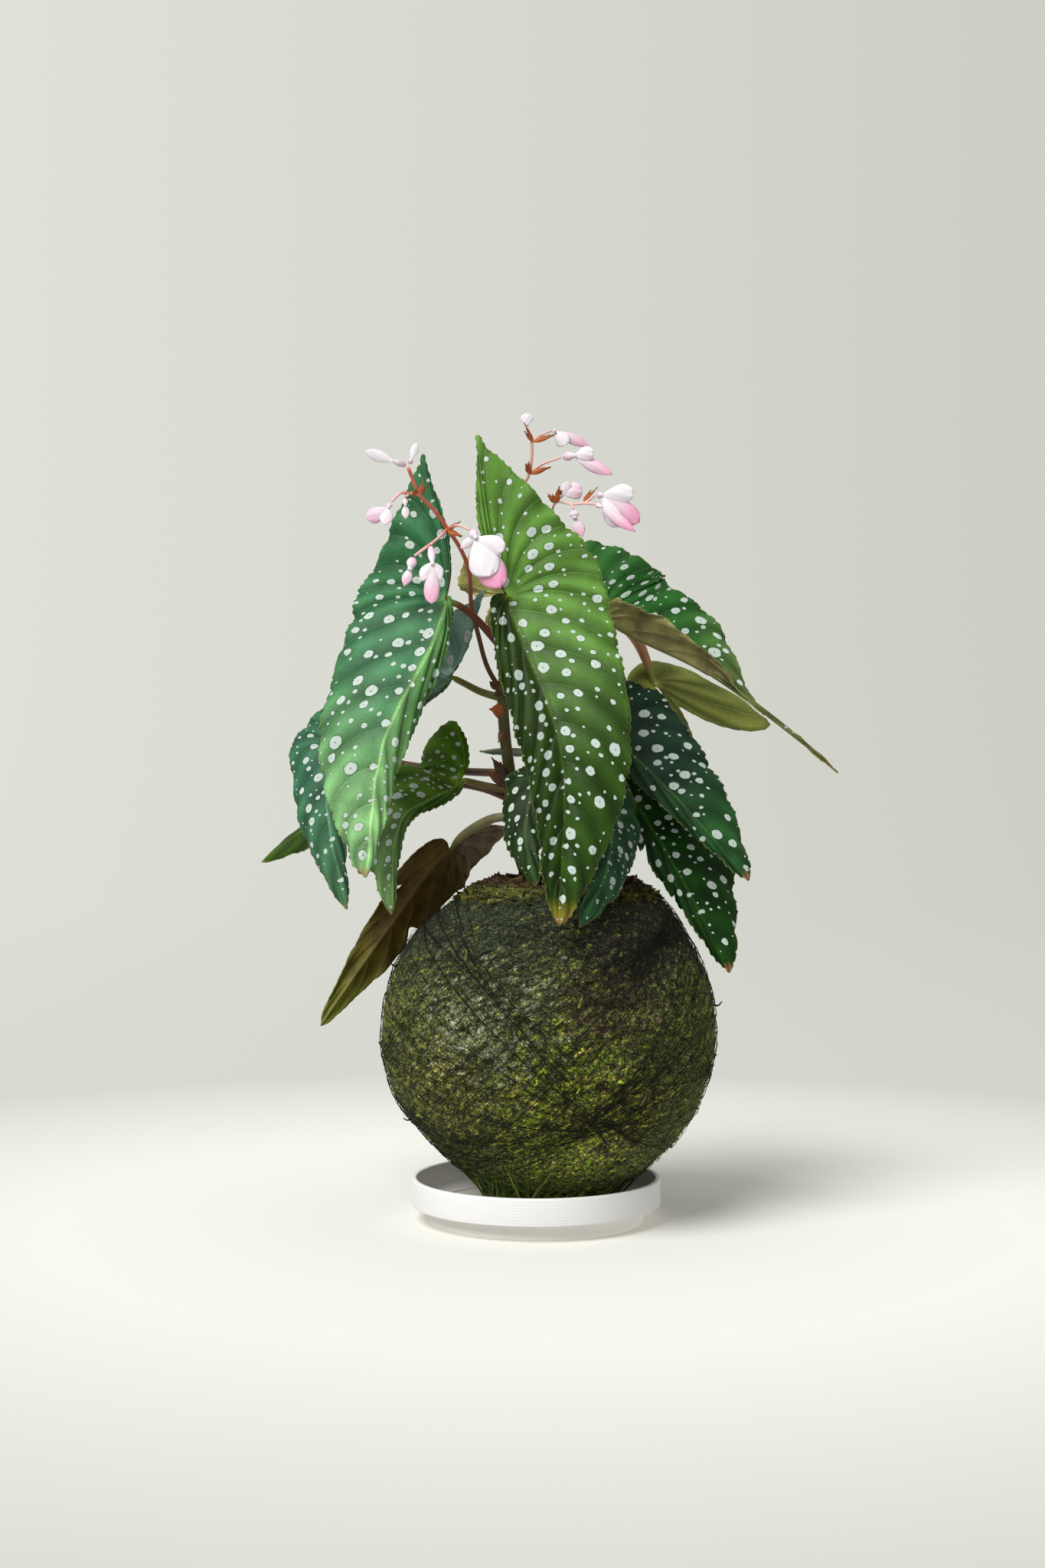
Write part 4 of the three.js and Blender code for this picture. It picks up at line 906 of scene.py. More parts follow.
def tube(shape, points, radius_at, sides, steps, colour_at, material=0):
    """Adds a round stem along a smooth path. radius_at and colour_at take a share of its length."""
    tint = shape.verts.layers.float_color["tint"]
    centres = even_path(points, steps)
    aims = [(b - a).normalized() for a, b in zip(centres[:1] + centres, centres[1:] + centres[-1:])]
    aims[0] = (centres[1] - centres[0]).normalized()
    ring = bmesh.ops.create_circle(shape, cap_ends=True, segments=sides, radius=radius_at(0))["verts"]
    turn = UP.rotation_difference(aims[0])
    cap = ring[0].link_faces[0]
    for vertex in ring:
        vertex.co = centres[0] + turn @ vertex.co
        vertex[tint] = colour_at(0)
    faces = [cap]
    for k in range(1, steps + 1):
        turn = aims[k - 1].rotation_difference(aims[k])
        scale = radius_at(k / steps) / radius_at((k - 1) / steps)
        grown = bmesh.ops.extrude_face_region(shape, geom=[cap])["geom"]
        for item in grown:
            if isinstance(item, bmesh.types.BMVert):
                item.co = centres[k] + turn @ (item.co - centres[k - 1]) * scale
                item[tint] = colour_at(k / steps)
        cap = next(item for item in grown if isinstance(item, bmesh.types.BMFace))
        faces.extend(face for edge in cap.edges for face in edge.link_faces)
    for face in set(face for face in faces if face.is_valid):
        face.material_index = material


def new_shape():
    """A bmesh whose points have a tint."""
    shape = bmesh.new()
    shape.verts.layers.float_color.new("tint")
    return shape


def copies(shape, count):
    """Repeats the small shape in place until it is there count times, and gives each copy's points."""
    size = len(shape.verts)
    while len(shape.verts) < size * count:
        bmesh.ops.duplicate(shape, geom=shape.verts[:] + shape.edges[:] + shape.faces[:])
    surplus = shape.verts[:][size * count:]
    bmesh.ops.delete(shape, geom=surplus, context="VERTS")
    points = shape.verts[:]
    return [points[k * size:(k + 1) * size] for k in range(count)]


def shift_colour(colour, amount):
    """The colour made lighter or darker by a share."""
    return (*[min(max(channel * (1 + amount), 0), 1) for channel in colour[:3]], 1.0)


def mixed(first, second, share):
    """A colour between two colours."""
    return (*[a + (b - a) * share for a, b in zip(first[:3], second[:3])], 1.0)


def moss_relief(direction):
    """How far the moss stands out of the round ball in one direction: low swells, small lumps, and a
    flatter place low on the left."""
    x, y, z = direction
    hollow = HOLLOW_DEPTH * (1 - float(ramp((direction - HOLLOW_DIRECTION).length, 0.1, 0.55)))
    swell = 0.8 * math.sin(5 * x + 2 * z + 1) * math.sin(4 * y - 3 * x) * math.cos(5 * z)
    lumps = 0.9 * noise.noise(direction * 7) + 0.5 * noise.noise(direction * 19)
    return (swell + lumps - hollow) * MM


def on_ball(direction, ball, lift=0.0):
    """The point of the moss surface in one direction from the ball's centre, raised by lift."""
    point = direction * (ball.radius + moss_relief(direction) + lift)
    return on_saucer(point, ball)


def on_saucer(point, ball):
    """Leans the ball's crown to the right and sets the ball on the saucer."""
    rise = float(ramp(point.z, ball.radius * 0.45, ball.radius))
    return point + Vector((rise * CROWN_LEAN, 0, 0)) + BALL_CENTRE


def moss_colour(direction, ball, dice):
    """The colour of one moss leaf: mostly dark olive, and other growth, painted shade and painted sheen in
    patches.
    """
    place = direction * ball.radius / MM
    for centre, reach, thickness, colours in MOSS_PATCHES:
        near = 1 - float(ramp((place - Vector(centre)).length, reach * 0.3, reach * 1.3))
        if dice.random() < near * thickness:
            return shift_colour(linear(dice.choice(colours)), dice.uniform(-0.35, 0.25))
    return shift_colour(linear(dice.choice(MOSS_GREENS)), dice.uniform(-0.4, 0.3))


def margin_curve(points):
    """A leaf half's outline at even shares of its length, from the joint to the tip."""
    knots = np.array([points[0], *points, points[-1]], float)
    samples = []
    for k in range(1, len(knots) - 2):
        t = np.linspace(0, 1, 24, endpoint=False)[:, None]
        leave = (knots[k + 1] - knots[k - 1]) / 2
        arrive = (knots[k + 2] - knots[k]) / 2
        step = knots[k + 1] - knots[k]
        samples.append(knots[k] + leave * t + (3 * step - 2 * leave - arrive) * t ** 2
                       + (leave + arrive - 2 * step) * t ** 3)
    line = np.vstack([*samples, knots[-1]])
    lengths = np.append(0, np.cumsum(np.linalg.norm(np.diff(line, axis=0), axis=1)))
    shares = lengths / lengths[-1]
    return lambda share: (np.interp(share, shares, line[:, 0]), np.interp(share, shares, line[:, 1]))


def unit(vectors):
    """Vectors made one long. A zero vector stays zero."""
    size = np.linalg.norm(vectors, axis=-1, keepdims=True)
    return vectors / np.maximum(size, 1e-12)


def leaf_surface(leaf):
    """The leaf's smooth surface, as a function of shares of its length along and across the midrib, and
    that length."""
    heel, joint, middle, tip = (np.array(leaf[key], float) * MM
                                for key in ("heel", "joint", "middle", "tip"))
    curve = spline([heel, joint, middle, tip])
    length = np.linalg.norm(middle - joint) + np.linalg.norm(tip - middle)
    turn = 1 if leaf["big"] == "left" else -1
    face = np.array(leaf["face"], float)

    def surface(along, across):
        # The curve's four points lie at even shares, with the joint at a third
        share = (1 + np.where(along < 0, along / LOBE_LENGTH, 2 * along)) / 3
        inside = np.clip(share, 0, 1)
        # Measured over a long step, so that the blade turns smoothly where the midrib bends
        tangent = unit(curve(inside + 0.13) - curve(inside - 0.13))
        aside = turn * unit(np.cross(tangent, face))
        up = turn * unit(np.cross(aside, tangent))
        big = across > 0
        start = leaf.get("tail", 1)
        tail = 1 - TAIL_NARROWING * ramp(along, start, start + TAIL_TAPER)
        slim = leaf.get("slim", 1)
        waist = np.where(big, 1, slim + (1 - slim) * ramp(along, 0, 0.5))
        reach = across * length * tail * waist * np.where(big, *leaf["spread"])
        fold = np.radians(np.where(big, *leaf["fold"]))
        point = curve(inside) + aside * (reach * np.cos(fold))[..., None]
        point = point + up * (np.abs(reach) * np.sin(fold))[..., None]
        return point + tangent * ((share - inside) * length)[..., None], reach

    return surface, length


def margin_share(leaf, big, teeth, edge, at_margin, out, width, seed):
    """How much of its way to the outline each point goes. The margin is notched once for each side vein,
    with small teeth between, and a few leaves have single deep notches too."""
    notches = 1.5 * (1 - np.abs(np.sin(np.pi * at_margin))) ** 1.5 + 0.6 * np.mod(4 * at_margin + seed, 1)
    depth = teeth * notches * ramp(out, 0.6, 1) / np.maximum(width, 3 * MM)
    share = 1 - np.minimum(depth, 0.25)
    for place, deep, wide in leaf.get("notches" if big else "small_notches", ()):
        share = share - deep * np.exp(-((edge - place) / wide) ** 2) * ramp(out, 0.3, 1)
    return share


def blade_relief(big, phase, band, out, settings, seed):
    """How far a half rises between its side veins, waves at its margin and bows between midrib and
    margin."""
    crest = np.mod(phase, 1) ** 0.8
    quilt = settings.quilt * np.sin(np.pi * crest) ** 0.8 * ramp(out, 0, 0.25)
    quilt = quilt * (1 - 0.4 * ramp(out, 0.75, 1)) * np.clip(band / 6, 0, 1)
    ruffle = RUFFLE_BIG if big else RUFFLE_SMALL
    waves = ruffle * np.sin(2 * np.pi * (0.5 * phase + 0.37 * seed)) * out ** 4
    waves = waves + FRILL * np.sin(2 * np.pi * (1.3 * phase + 0.61 * seed)) * out ** 5
    return quilt + waves + BOW * np.sin(np.pi * out)


def serration(teeth, at_margin, seed):
    """How far the pointed teeth stand out of the margin, each of its own size."""
    place = 4.3 * at_margin + seed
    own = 0.25 + 0.75 * np.abs(np.sin(37.7 * np.floor(place) + seed))
    return 1.1 * teeth * np.mod(place, 1) * own


def turned_to(tint, hex_colour, share):
    """Colours turned to another one, each point's by its own share."""
    share = share[..., None]
    return tint * (1 - share) + np.array(linear(hex_colour)[:3]) * share


def blade_tint(leaf, big, along, phase):
    """The upper side's colours from the joint to the tip, which is dry."""
    tint = np.array(linear(leaf["colours"][0 if big else 1])[:3])
    tint = turned_to(tint, leaf["colours"][2], 0.9 * ramp(along, *leaf.get("blend", (0.25, 0.85))))
    if "end" in leaf:
        tint = turned_to(tint, leaf["end"], ramp(along, 0.91, 1.0))
    return turned_to(tint, "#8a5a3c", ramp(along + 0.015 * np.sin(9 * phase), 0.955, 1.0))


def leaf_half(leaf, big, rows, columns, settings, seed):
    """One half of a blade as arrays of rows by columns: points, pattern coordinates and colours."""
    surface, length = leaf_surface(leaf)
    big_points = ROUND_HALF if leaf.get("round") else BIG_HALF
    outline_points = big_points if big else SMALL_HALF
    fan = FAN_BIG if big else FAN_SMALL
    # A row runs from its foot on the midrib out to its own place on the outline
    row, out = np.meshgrid(np.linspace(0, 1, rows + 1), np.linspace(0, 1, columns + 1), indexing="ij")
    out = out ** 0.85
    foot = np.maximum((row - FAN_ROWS) / (1 - FAN_ROWS), 0)
    edge = np.minimum(row / FAN_ROWS, 1) * fan + foot * (1 - fan)
    margin_x, margin_y = margin_curve(outline_points)(edge)
    # Side veins are the whole numbers of the phase, and sweep towards the tip on their way out
    around = sum(math.dist(a, b) for a, b in zip(outline_points, outline_points[1:]))
    at_margin = edge * max(round(around * length / settings.vein_spacing), 4)
    phase = at_margin - 0.9 * out ** 2
    teeth = settings.tooth * leaf.get("toothed", 1)
    width = np.hypot(margin_x - foot, margin_y) * length
    kept = margin_share(leaf, big, teeth, edge, at_margin, out, width, seed)
    along = foot + (margin_x - foot) * out * kept
    across = margin_y * out * kept
    # A point on the midrib is told which half it belongs to
    nudged = np.where(np.abs(across) < 1e-9, 1e-9 if big else -1e-9, across)
    point, reach = surface(along, nudged)
    down = np.gradient(point, axis=0)
    over = np.gradient(point, axis=1)
    normal = unit(np.cross(down, over))
    facing = normal @ np.array(leaf["face"], float)
    normal = normal * (1 if facing.sum() > 0 else -1)
    # The space between side veins, and the direction in which the phase stays the same
    plan = np.stack([along * length, reach], axis=-1) / MM
    phase_down = np.gradient(phase, axis=0)
    phase_over = np.gradient(phase, axis=1)
    safe = np.where(np.abs(phase_down) < 1e-6, 1e-6, phase_down)
    band = np.linalg.norm(down, axis=-1) / np.abs(safe) / MM
    grain = unit(np.gradient(plan, axis=1) - (phase_over / safe)[..., None] * np.gradient(plan, axis=0))
    # The relief dies away near the joint, the tip and the lobe's end
    from_joint, from_tip, from_heel = (np.linalg.norm(point - np.array(leaf[key], float) * MM, axis=-1)
                                       for key in ("joint", "tip", "heel"))
    calm = ramp(from_joint, 0, 14 * MM) * ramp(from_tip, 0, 12 * MM) * ramp(from_heel, 0, 16 * MM)
    ridge = RIDGE * np.exp(-(reach / RIDGE_WIDTH) ** 2) * ramp(along, -0.02, 0.03)
    relief = min(length / USUAL_LEAF, 1.2) * blade_relief(big, phase, band, out, settings, seed) + ridge
    point = point + normal * (relief * calm)[..., None]
    # Pointed teeth stand out of the margin, in the blade's plane
    rim = np.gradient(point[:, -1], axis=0)
    outward = unit(np.cross(rim, normal[:, -1]))
    outward = outward * (1 if (outward * over[:, -1]).sum() > 0 else -1)
    stand = serration(teeth, at_margin[:, -1], seed) * ramp(from_joint[:, -1], 3 * MM, 9 * MM)
    point[:, -1] += outward * (stand * ramp(from_tip[:, -1], 0, 4 * MM))[:, None]
    from_edge = np.linalg.norm(point - point[:, -1:], axis=-1)
    # The midrib is drawn narrower towards the tip, and ends at the joint
    taper = np.clip(1.15 - 0.75 * along, 0.3, 1.15)
    from_rib = (np.abs(reach) + np.maximum(-along, 0) * length) / taper
    # Each leaf has its own stretch of the spots' pattern
    dense = leaf.get("dense", 1) * (1 if big else leaf.get("small_dense", 1))
    plan = (plan + np.array([PATTERN_STEP * seed, 0])) * dense
    return {"point": point, "plan": plan, "veins": np.stack([phase, band], axis=-1), "grain": grain,
            "edges": np.stack([from_edge / MM, along], axis=-1),
            "ribs": np.stack([from_rib, from_joint], axis=-1) / MM,
            "tint": blade_tint(leaf, big, along, phase), "along": along}


def thicken(shape, faces, thickness):
    """Copies an open sheet's faces to the side that they look at, and gives the copy's points and faces."""
    grown = bmesh.ops.extrude_face_region(shape, geom=faces)["geom"]
    points = [item for item in grown if isinstance(item, bmesh.types.BMVert)]
    shifts = [vertex.normal * thickness for vertex in points]
    for vertex, shift in zip(points, shifts):
        vertex.co += shift
    return points, [item for item in grown if isinstance(item, bmesh.types.BMFace)]


def add_blade(shape, leaf, seed, settings):
    """Adds a leaf's blade: a grid bent to the leaf's form, then given its thickness."""
    length = leaf_surface(leaf)[1]
    rows = int(np.clip(length / (0.5 * MM), 130, 300))
    columns = int(np.clip(length / (6 * MM), 13, 26))
    halves = [leaf_half(leaf, big, rows, columns, settings, seed) for big in (False, True)]
    tint = shape.verts.layers.float_color["tint"]
    along = shape.verts.layers.float.new("along")
    layers = {key: shape.loops.layers.uv.new(key) for key in LEAF_MAPS}
    grid = bmesh.ops.create_grid(shape, x_segments=2 * columns, y_segments=rows, size=1)["verts"]
    places = {}
    for vertex in grid:
        across = round(vertex.co.x * columns)
        places[vertex] = (round((vertex.co.y + 1) / 2 * rows), across)
    for vertex, (i, j) in places.items():
        half = halves[j > 0]
        vertex.co = half["point"][i, abs(j)]
        vertex[tint] = (*half["tint"][i, abs(j)], leaf.get("spots", (1, 1))[j <= 0])
        vertex[along] = half["along"][i, abs(j)]
    faces = list({face for vertex in grid for face in vertex.link_faces})
    faces.sort(key=lambda face: face.index)
    for face in faces:
        corners = [places[loop.vert] for loop in face.loops]
        half = halves[sum(j for _, j in corners) > 0]
        for loop, (i, j) in zip(face.loops, corners):
            for key, layer in layers.items():
                loop[layer].uv = half[key][i, abs(j)]
    bmesh.ops.remove_doubles(shape, verts=grid, dist=2e-6)
    faces = [face for face in faces if face.is_valid]
    # The blade is turned to look down, and its copy is pushed down as the underside
    shape.normal_update()
    looks = Vector(leaf["face"])
    if sum(face.normal.dot(looks) * face.calc_area() for face in faces) > 0:
        bmesh.ops.reverse_faces(shape, faces=faces)
        shape.normal_update()
    points, underside = thicken(shape, faces, settings.thickness)
    under, under_tip = linear(leaf["colours"][3]), linear(leaf["colours"][2])
    for vertex in points:
        vertex[tint] = mixed(under, under_tip, 0.8 * float(ramp(vertex[along], 0.35, 1)))
        if "lobe" in leaf:
            vertex[tint] = mixed(vertex[tint], linear(leaf["lobe"]), float(ramp(-vertex[along], 0.02, 0.16)))
    shape.verts.layers.float.remove(along)
    for face in underside:
        face.material_index = 1


def add_petal(shape, base, tip, width, thickness, root, end, roundness=1.0):
    """Adds a petal or scale from its base to its tip, coloured from root to end. It is a cupped
    pointed oval, and the rounder it is, the wider it is near its tip."""
    tint = shape.verts.layers.float_color["tint"]
    along = tip - base
    aside = along.cross(Vector((0, 1, 0))).normalized() * (width / 2)
    cup = aside.cross(along).normalized() * (width * 0.16)
    grid = bmesh.ops.create_grid(shape, x_segments=10, y_segments=14, size=1)["verts"]
    for vertex in grid:
        row, column = (vertex.co.y + 1) / 2, vertex.co.x
        across = column * math.sin(math.pi * row ** roundness) ** (0.9 / roundness)
        bend = across ** 2 + 1.6 * (row - 0.5) ** 2 + 0.12 * math.sin(7 * column + 9 * row) * row
        vertex.co = base + along * row + aside * across + cup * bend
        vertex[tint] = mixed(root, end, float(ramp(row + 0.15 * column * column, 0.3, 0.95)))
    faces = list({face for vertex in grid for face in vertex.link_faces})
    bmesh.ops.remove_doubles(shape, verts=grid, dist=1e-6)
    faces = [face for face in faces if face.is_valid]
    shape.normal_update()
    thicken(shape, faces, thickness)


class KOKEDAMA_OT_saucer(bpy.types.Operator):
    """Model the glazed saucer: a straight band over a narrower foot"""
    bl_idname = "kokedama.saucer"
    bl_label = "Saucer"

    def execute(self, context):
        size = context.scene.kokedama.saucer
        inside = size.radius - size.wall
        profile = [(0, 0.6 * MM), (size.foot_radius - 3 * MM, 0.6 * MM), (size.foot_radius - 2 * MM, 0),
                   (size.foot_radius, 0), (size.foot_radius, size.foot_height),
                   (size.radius, size.foot_height), (size.radius, size.height), (inside, size.height),
                   (inside, size.foot_height + size.wall), (size.foot_radius - size.wall, SAUCER_FLOOR),
                   (0, SAUCER_FLOOR)]
        shape = lathe(rounded(profile, size.edge), steps=128)
        make_piece(shape, "glazed_saucer", [glazed_stoneware(size)], "saucer_glaze", ["saucer"])
        return {"FINISHED"}


class KOKEDAMA_OT_moss(bpy.types.Operator):
    """Model the moss: a pressed mat covered with small moss leaves"""
    bl_idname = "kokedama.moss"
    bl_label = "Moss"

    def execute(self, context):
        ball = context.scene.kokedama.ball
        pad_angle = math.pi - math.asin(PAD_RADIUS / ball.radius)
        floor = SAUCER_FLOOR + CLEARANCE - BALL_CENTRE.z
        profile = [(0, floor), (PAD_RADIUS - PAD_EDGE, floor), (PAD_RADIUS, floor + PAD_EDGE),
                   *arc(ball.radius, pad_angle, CROWN_ANGLE, 110),
                   *arc(ball.radius - MOSS_DEPTH, CROWN_ANGLE, math.pi, 12)]
        shape = lathe(profile, steps=220)
        tint = shape.verts.layers.float_color.new("tint")
        dice = random.Random(2)
        for vertex in shape.verts:
            vertex[tint] = shift_colour(moss_colour(vertex.co.normalized(), ball, dice), 0.1)
            reach = vertex.co.length
            # The ball's outside has lumps, and the pad and the inside are smooth
            if abs(reach - ball.radius) < MM:
                direction = vertex.co / reach
                grit = 0.35 * MM * noise.noise(direction * 70)
                vertex.co = on_ball(direction, ball, grit)
            else:
                vertex.co = on_saucer(vertex.co, ball)
        make_piece(shape, "moss_mat", [moss_mat()], "moss", ["moss_wrap"])
        self.add_leaves(ball)
        self.add_fringe(ball)
        self.add_twigs()
        return {"FINISHED"}

    def add_leaves(self, ball):
        """Short moss leaves lie over the whole mat, each a thin spike."""
        dice = random.Random(11)
        shape = new_shape()
        tint = shape.verts.layers.float_color["tint"]
        bmesh.ops.create_cone(shape, cap_ends=True, segments=3, radius1=0.3, radius2=0, depth=1)
        bmesh.ops.translate(shape, verts=shape.verts, vec=(0, 0, 0.4))
        # Lowest foot on the ball, in shares of its radius, and the share of leaves that cover the pad
        lowest = -0.945
        pad_share = 0.05
        for points in copies(shape, ball.tufts):
            turn = dice.uniform(0, 2 * math.pi)
            on_pad = dice.random() < pad_share
            height = dice.uniform(lowest, math.cos(CROWN_ANGLE))
            level = math.sqrt(1 - height * height)
            direction = Vector((level * math.cos(turn), level * math.sin(turn), height))
            if on_pad:
                outward = level_way(turn)
                foot = outward * PAD_RADIUS + BALL_CENTRE
                foot.z = SAUCER_FLOOR + dice.uniform(0.6, 11) * MM
                direction = Vector((outward.x * 0.3, outward.y * 0.3, -0.95)).normalized()
            else:
                outward = direction
                foot = on_ball(direction, ball, -0.2 * MM)
            sideways = outward.cross(any_way(dice))
            lean = dice.uniform(0.3, 1.6)
            aim = (outward + sideways.normalized() * lean).normalized()
            # A few leaves are loose and more than twice as long
            size = ball.tuft_length * dice.uniform(0.5, 1.3) * (2.3 if dice.random() < 0.03 else 1)
            spin = UP.rotation_difference(aim)
            clump = 0.5 * noise.noise(direction * 24)
            colour = shift_colour(moss_colour(direction, ball, dice), clump)
            fresh = direction.z < 0.2 and dice.random() < 0.05 + 0.1 * max(clump, 0)
            if fresh:
                colour = shift_colour(linear("#a4ae44"), dice.uniform(-0.4, 0.2))
            # Each leaf's tip is lighter and its foot darker, partly as painted highlight and painted shade,
            # and on the ball's top the tips stay darker as painted shade under the leaves
            shade = float(ramp(direction.z, 0.1, 0.55))
            for point in points:
                top = point.co.z > 0.5
                point.co = foot + spin @ point.co * size
                point[tint] = shift_colour(colour, 0.4 - 0.35 * shade if top else -0.1)
        make_piece(shape, "moss_leaves", [plant_matter("sheet_moss_leaves", 0.7, 0.35, 1.0, 0.1)], "moss")

    def add_fringe(self, ball):
        """Longer moss and peat fibres stand round the crown."""
        dice = random.Random(5)
        shape = new_shape()
        tint = shape.verts.layers.float_color["tint"]
        bmesh.ops.create_cone(shape, cap_ends=True, segments=3, radius1=0.06, radius2=0, depth=1)
        bmesh.ops.translate(shape, verts=shape.verts, vec=(0, 0, 0.42))
        browns = [linear(text) for text in ("#2c1d12", "#3c2a1a", "#4a3520", "#221710", "#5c4528")]
        greens = [linear(text) for text in ("#3c421c", "#4d5222", "#5f6028", "#2c3116", "#746c34")]
        for points in copies(shape, ball.fringe):
            turn = dice.uniform(0, 2 * math.pi)
            angle = CROWN_ANGLE + math.radians(dice.gauss(0.5, 3.2))
            direction = Vector((math.sin(angle) * math.cos(turn), math.sin(angle) * math.sin(turn),
                                math.cos(angle)))
            foot = on_ball(direction, ball, -dice.uniform(0.2, 1.4) * MM)
            wander = Vector((dice.gauss(0, 1), dice.gauss(0, 1), dice.gauss(0, 0.8)))
            aim = (direction + wander * 0.75).normalized()
            size = dice.uniform(1.8, 4.6) * MM
            spin = UP.rotation_difference(aim)
            colour = dice.choice(browns if angle < CROWN_ANGLE - 0.01 else greens)
            colour = shift_colour(colour, dice.uniform(-0.3, 0.3))
            for point in points:
                point.co = foot + spin @ point.co * size
                point[tint] = colour
        make_piece(shape, "crown_fringe", [plant_matter("moss_and_peat_fibre", 0.85, 0.2, 1.0, 0.1)], "moss")

    def add_twigs(self):
        """A few dry twigs caught in the moss."""
        shape = new_shape()
        bark = linear("#3f2c1c")
        for points in TWIGS:
            tube(shape, [at(point) for point in points], lambda share: (0.55 - 0.3 * share) * MM, 6, 10,
                 lambda share: shift_colour(bark, 0.4 * math.sin(9 * share)))
        make_piece(shape, "moss_twigs", [plant_matter("dry_twig_bark", 0.85, 0.2, 0.6, 0.15)], "moss")


class KOKEDAMA_OT_soil(bpy.types.Operator):
    """Model the ball of soil with its rough crown and its crumbs"""
    bl_idname = "kokedama.soil"
    bl_label = "Soil"

    def execute(self, context):
        ball = context.scene.kokedama.ball
        dice = random.Random(3)
        radius = ball.radius - MOSS_DEPTH - CLEARANCE * 1.6
        rim = arc(radius, math.pi, CROWN_ANGLE, 16)
        edge_radius, edge_height = rim[-1]
        rings = 34
        # A step up from the rim, then a dome
        crown = [(edge_radius * share, edge_height + CROWN_HEIGHT * (2 - share * share))
                 for share in (1 - (k + 1) / rings for k in range(rings))]
        shape = lathe([*rim, *crown], steps=128)
        tint = shape.verts.layers.float_color.new("tint")
        for vertex in shape.verts:
            if vertex.co.z > edge_height + 0.5 * MM:
                lumps = noise.noise(vertex.co * 160) + 0.6 * noise.noise(vertex.co * 420)
                vertex.co.z += 1.5 * MM * lumps
            vertex.co = on_saucer(vertex.co, ball)
            vertex[tint] = shift_colour(ball.soil, 0.5 * noise.noise(vertex.co * 300))
        crumbly = plant_matter("peat_and_bark_soil", 0.95, 0.15, 0.9, 0.5, mottle=0.5)
        make_piece(shape, "soil_with_crown", [crumbly], "soil", ["soil_ball"])
        self.add_crumbs(ball, edge_radius, edge_height, crumbly, dice)
        return {"FINISHED"}

    def add_crumbs(self, ball, edge_radius, edge_height, crumbly, dice):
        """Crumbs of peat and bark lie over the crown."""
        shape = new_shape()
        tint = shape.verts.layers.float_color["tint"]
        bmesh.ops.create_icosphere(shape, subdivisions=1, radius=1)
        browns = [linear(text) for text in ("#241a10", "#322616", "#42341e", "#1a130b", "#52442a")]
        for points in copies(shape, ball.crumbs):
            turn, share = dice.uniform(0, 2 * math.pi), math.sqrt(dice.random())
            level = edge_radius * share * 0.99
            foot = Vector((level * math.cos(turn), level * math.sin(turn),
                           edge_height + CROWN_HEIGHT * (2 - share * share)))
            foot = on_saucer(foot, ball)
            size = Vector((dice.uniform(0.4, 1.5), dice.uniform(0.3, 0.9), dice.uniform(0.3, 0.8))) * MM
            spin = Matrix.Rotation(dice.uniform(0, 3), 3, "Z") @ Matrix.Rotation(dice.uniform(-1, 1), 3, "X")
            colour = shift_colour(dice.choice(browns), dice.uniform(-0.3, 0.3))
            for point in points:
                point.co = foot + spin @ (point.co * size)
                point[tint] = colour
        make_piece(shape, "crown_crumbs", [crumbly], "soil")


class KOKEDAMA_OT_thread(bpy.types.Operator):
    """Wind the thread round the ball in fans of fine turns"""
    bl_idname = "kokedama.thread"
    bl_label = "Thread"

    def execute(self, context):
        ball = context.scene.kokedama.ball
        dice = random.Random(8)
        turns = self.turn_axes(dice)
        steps = 88
        above_moss = 1.15 * MM
        shape = bmesh.new()
        section = bmesh.ops.create_circle(shape, cap_ends=False, segments=3, radius=ball.thread_radius)
        bmesh.ops.rotate(shape, verts=section["verts"], matrix=Matrix.Rotation(math.pi / 2, 3, "X"))
        bmesh.ops.translate(shape, verts=section["verts"], vec=(ball.radius, 0, 0))
        bmesh.ops.spin(shape, geom=shape.verts[:] + shape.edges[:], cent=(0, 0, 0), axis=(0, 0, 1),
                       angle=2 * math.pi, steps=steps, use_merge=True)
        bmesh.ops.recalc_face_normals(shape, faces=shape.faces)
        for points, (axis, offset) in zip(copies(shape, len(turns)), turns):
            spin = UP.rotation_difference(axis)
            for point in points:
                lift = point.co.length - ball.radius
                direction = (spin @ point.co).normalized() * math.sqrt(1 - offset * offset) + axis * offset
                point.co = on_ball(direction, ball, lift + above_moss)
        make_piece(shape, "thread_turns", [spun_thread(ball)], "thread", ["thread_winding"])
        return {"FINISHED"}

    def turn_axes(self, dice):
        """The axis of every turn and how far its plane lies from the ball's centre."""
        turns = []
        for crossing, (low, high), count in THREAD_FANS:
            centre = Vector(crossing).normalized()
            level = UP.cross(centre).normalized()
            upright = centre.cross(level)
            for k in range(count):
                angle = math.radians(low + (high - low) * (k + dice.uniform(-0.7, 0.7)) / count)
                axis = upright * math.cos(angle) - level * math.sin(angle)
                offset = dice.uniform(-0.05, 0.05)
                steepest = math.acos(min(abs(axis.z), 1)) + math.asin(abs(offset))
                # A turn that would slip over the crown is left out
                if steepest < math.pi / 2 - CROWN_ANGLE - 0.03:
                    turns.append((axis, offset))
        return turns


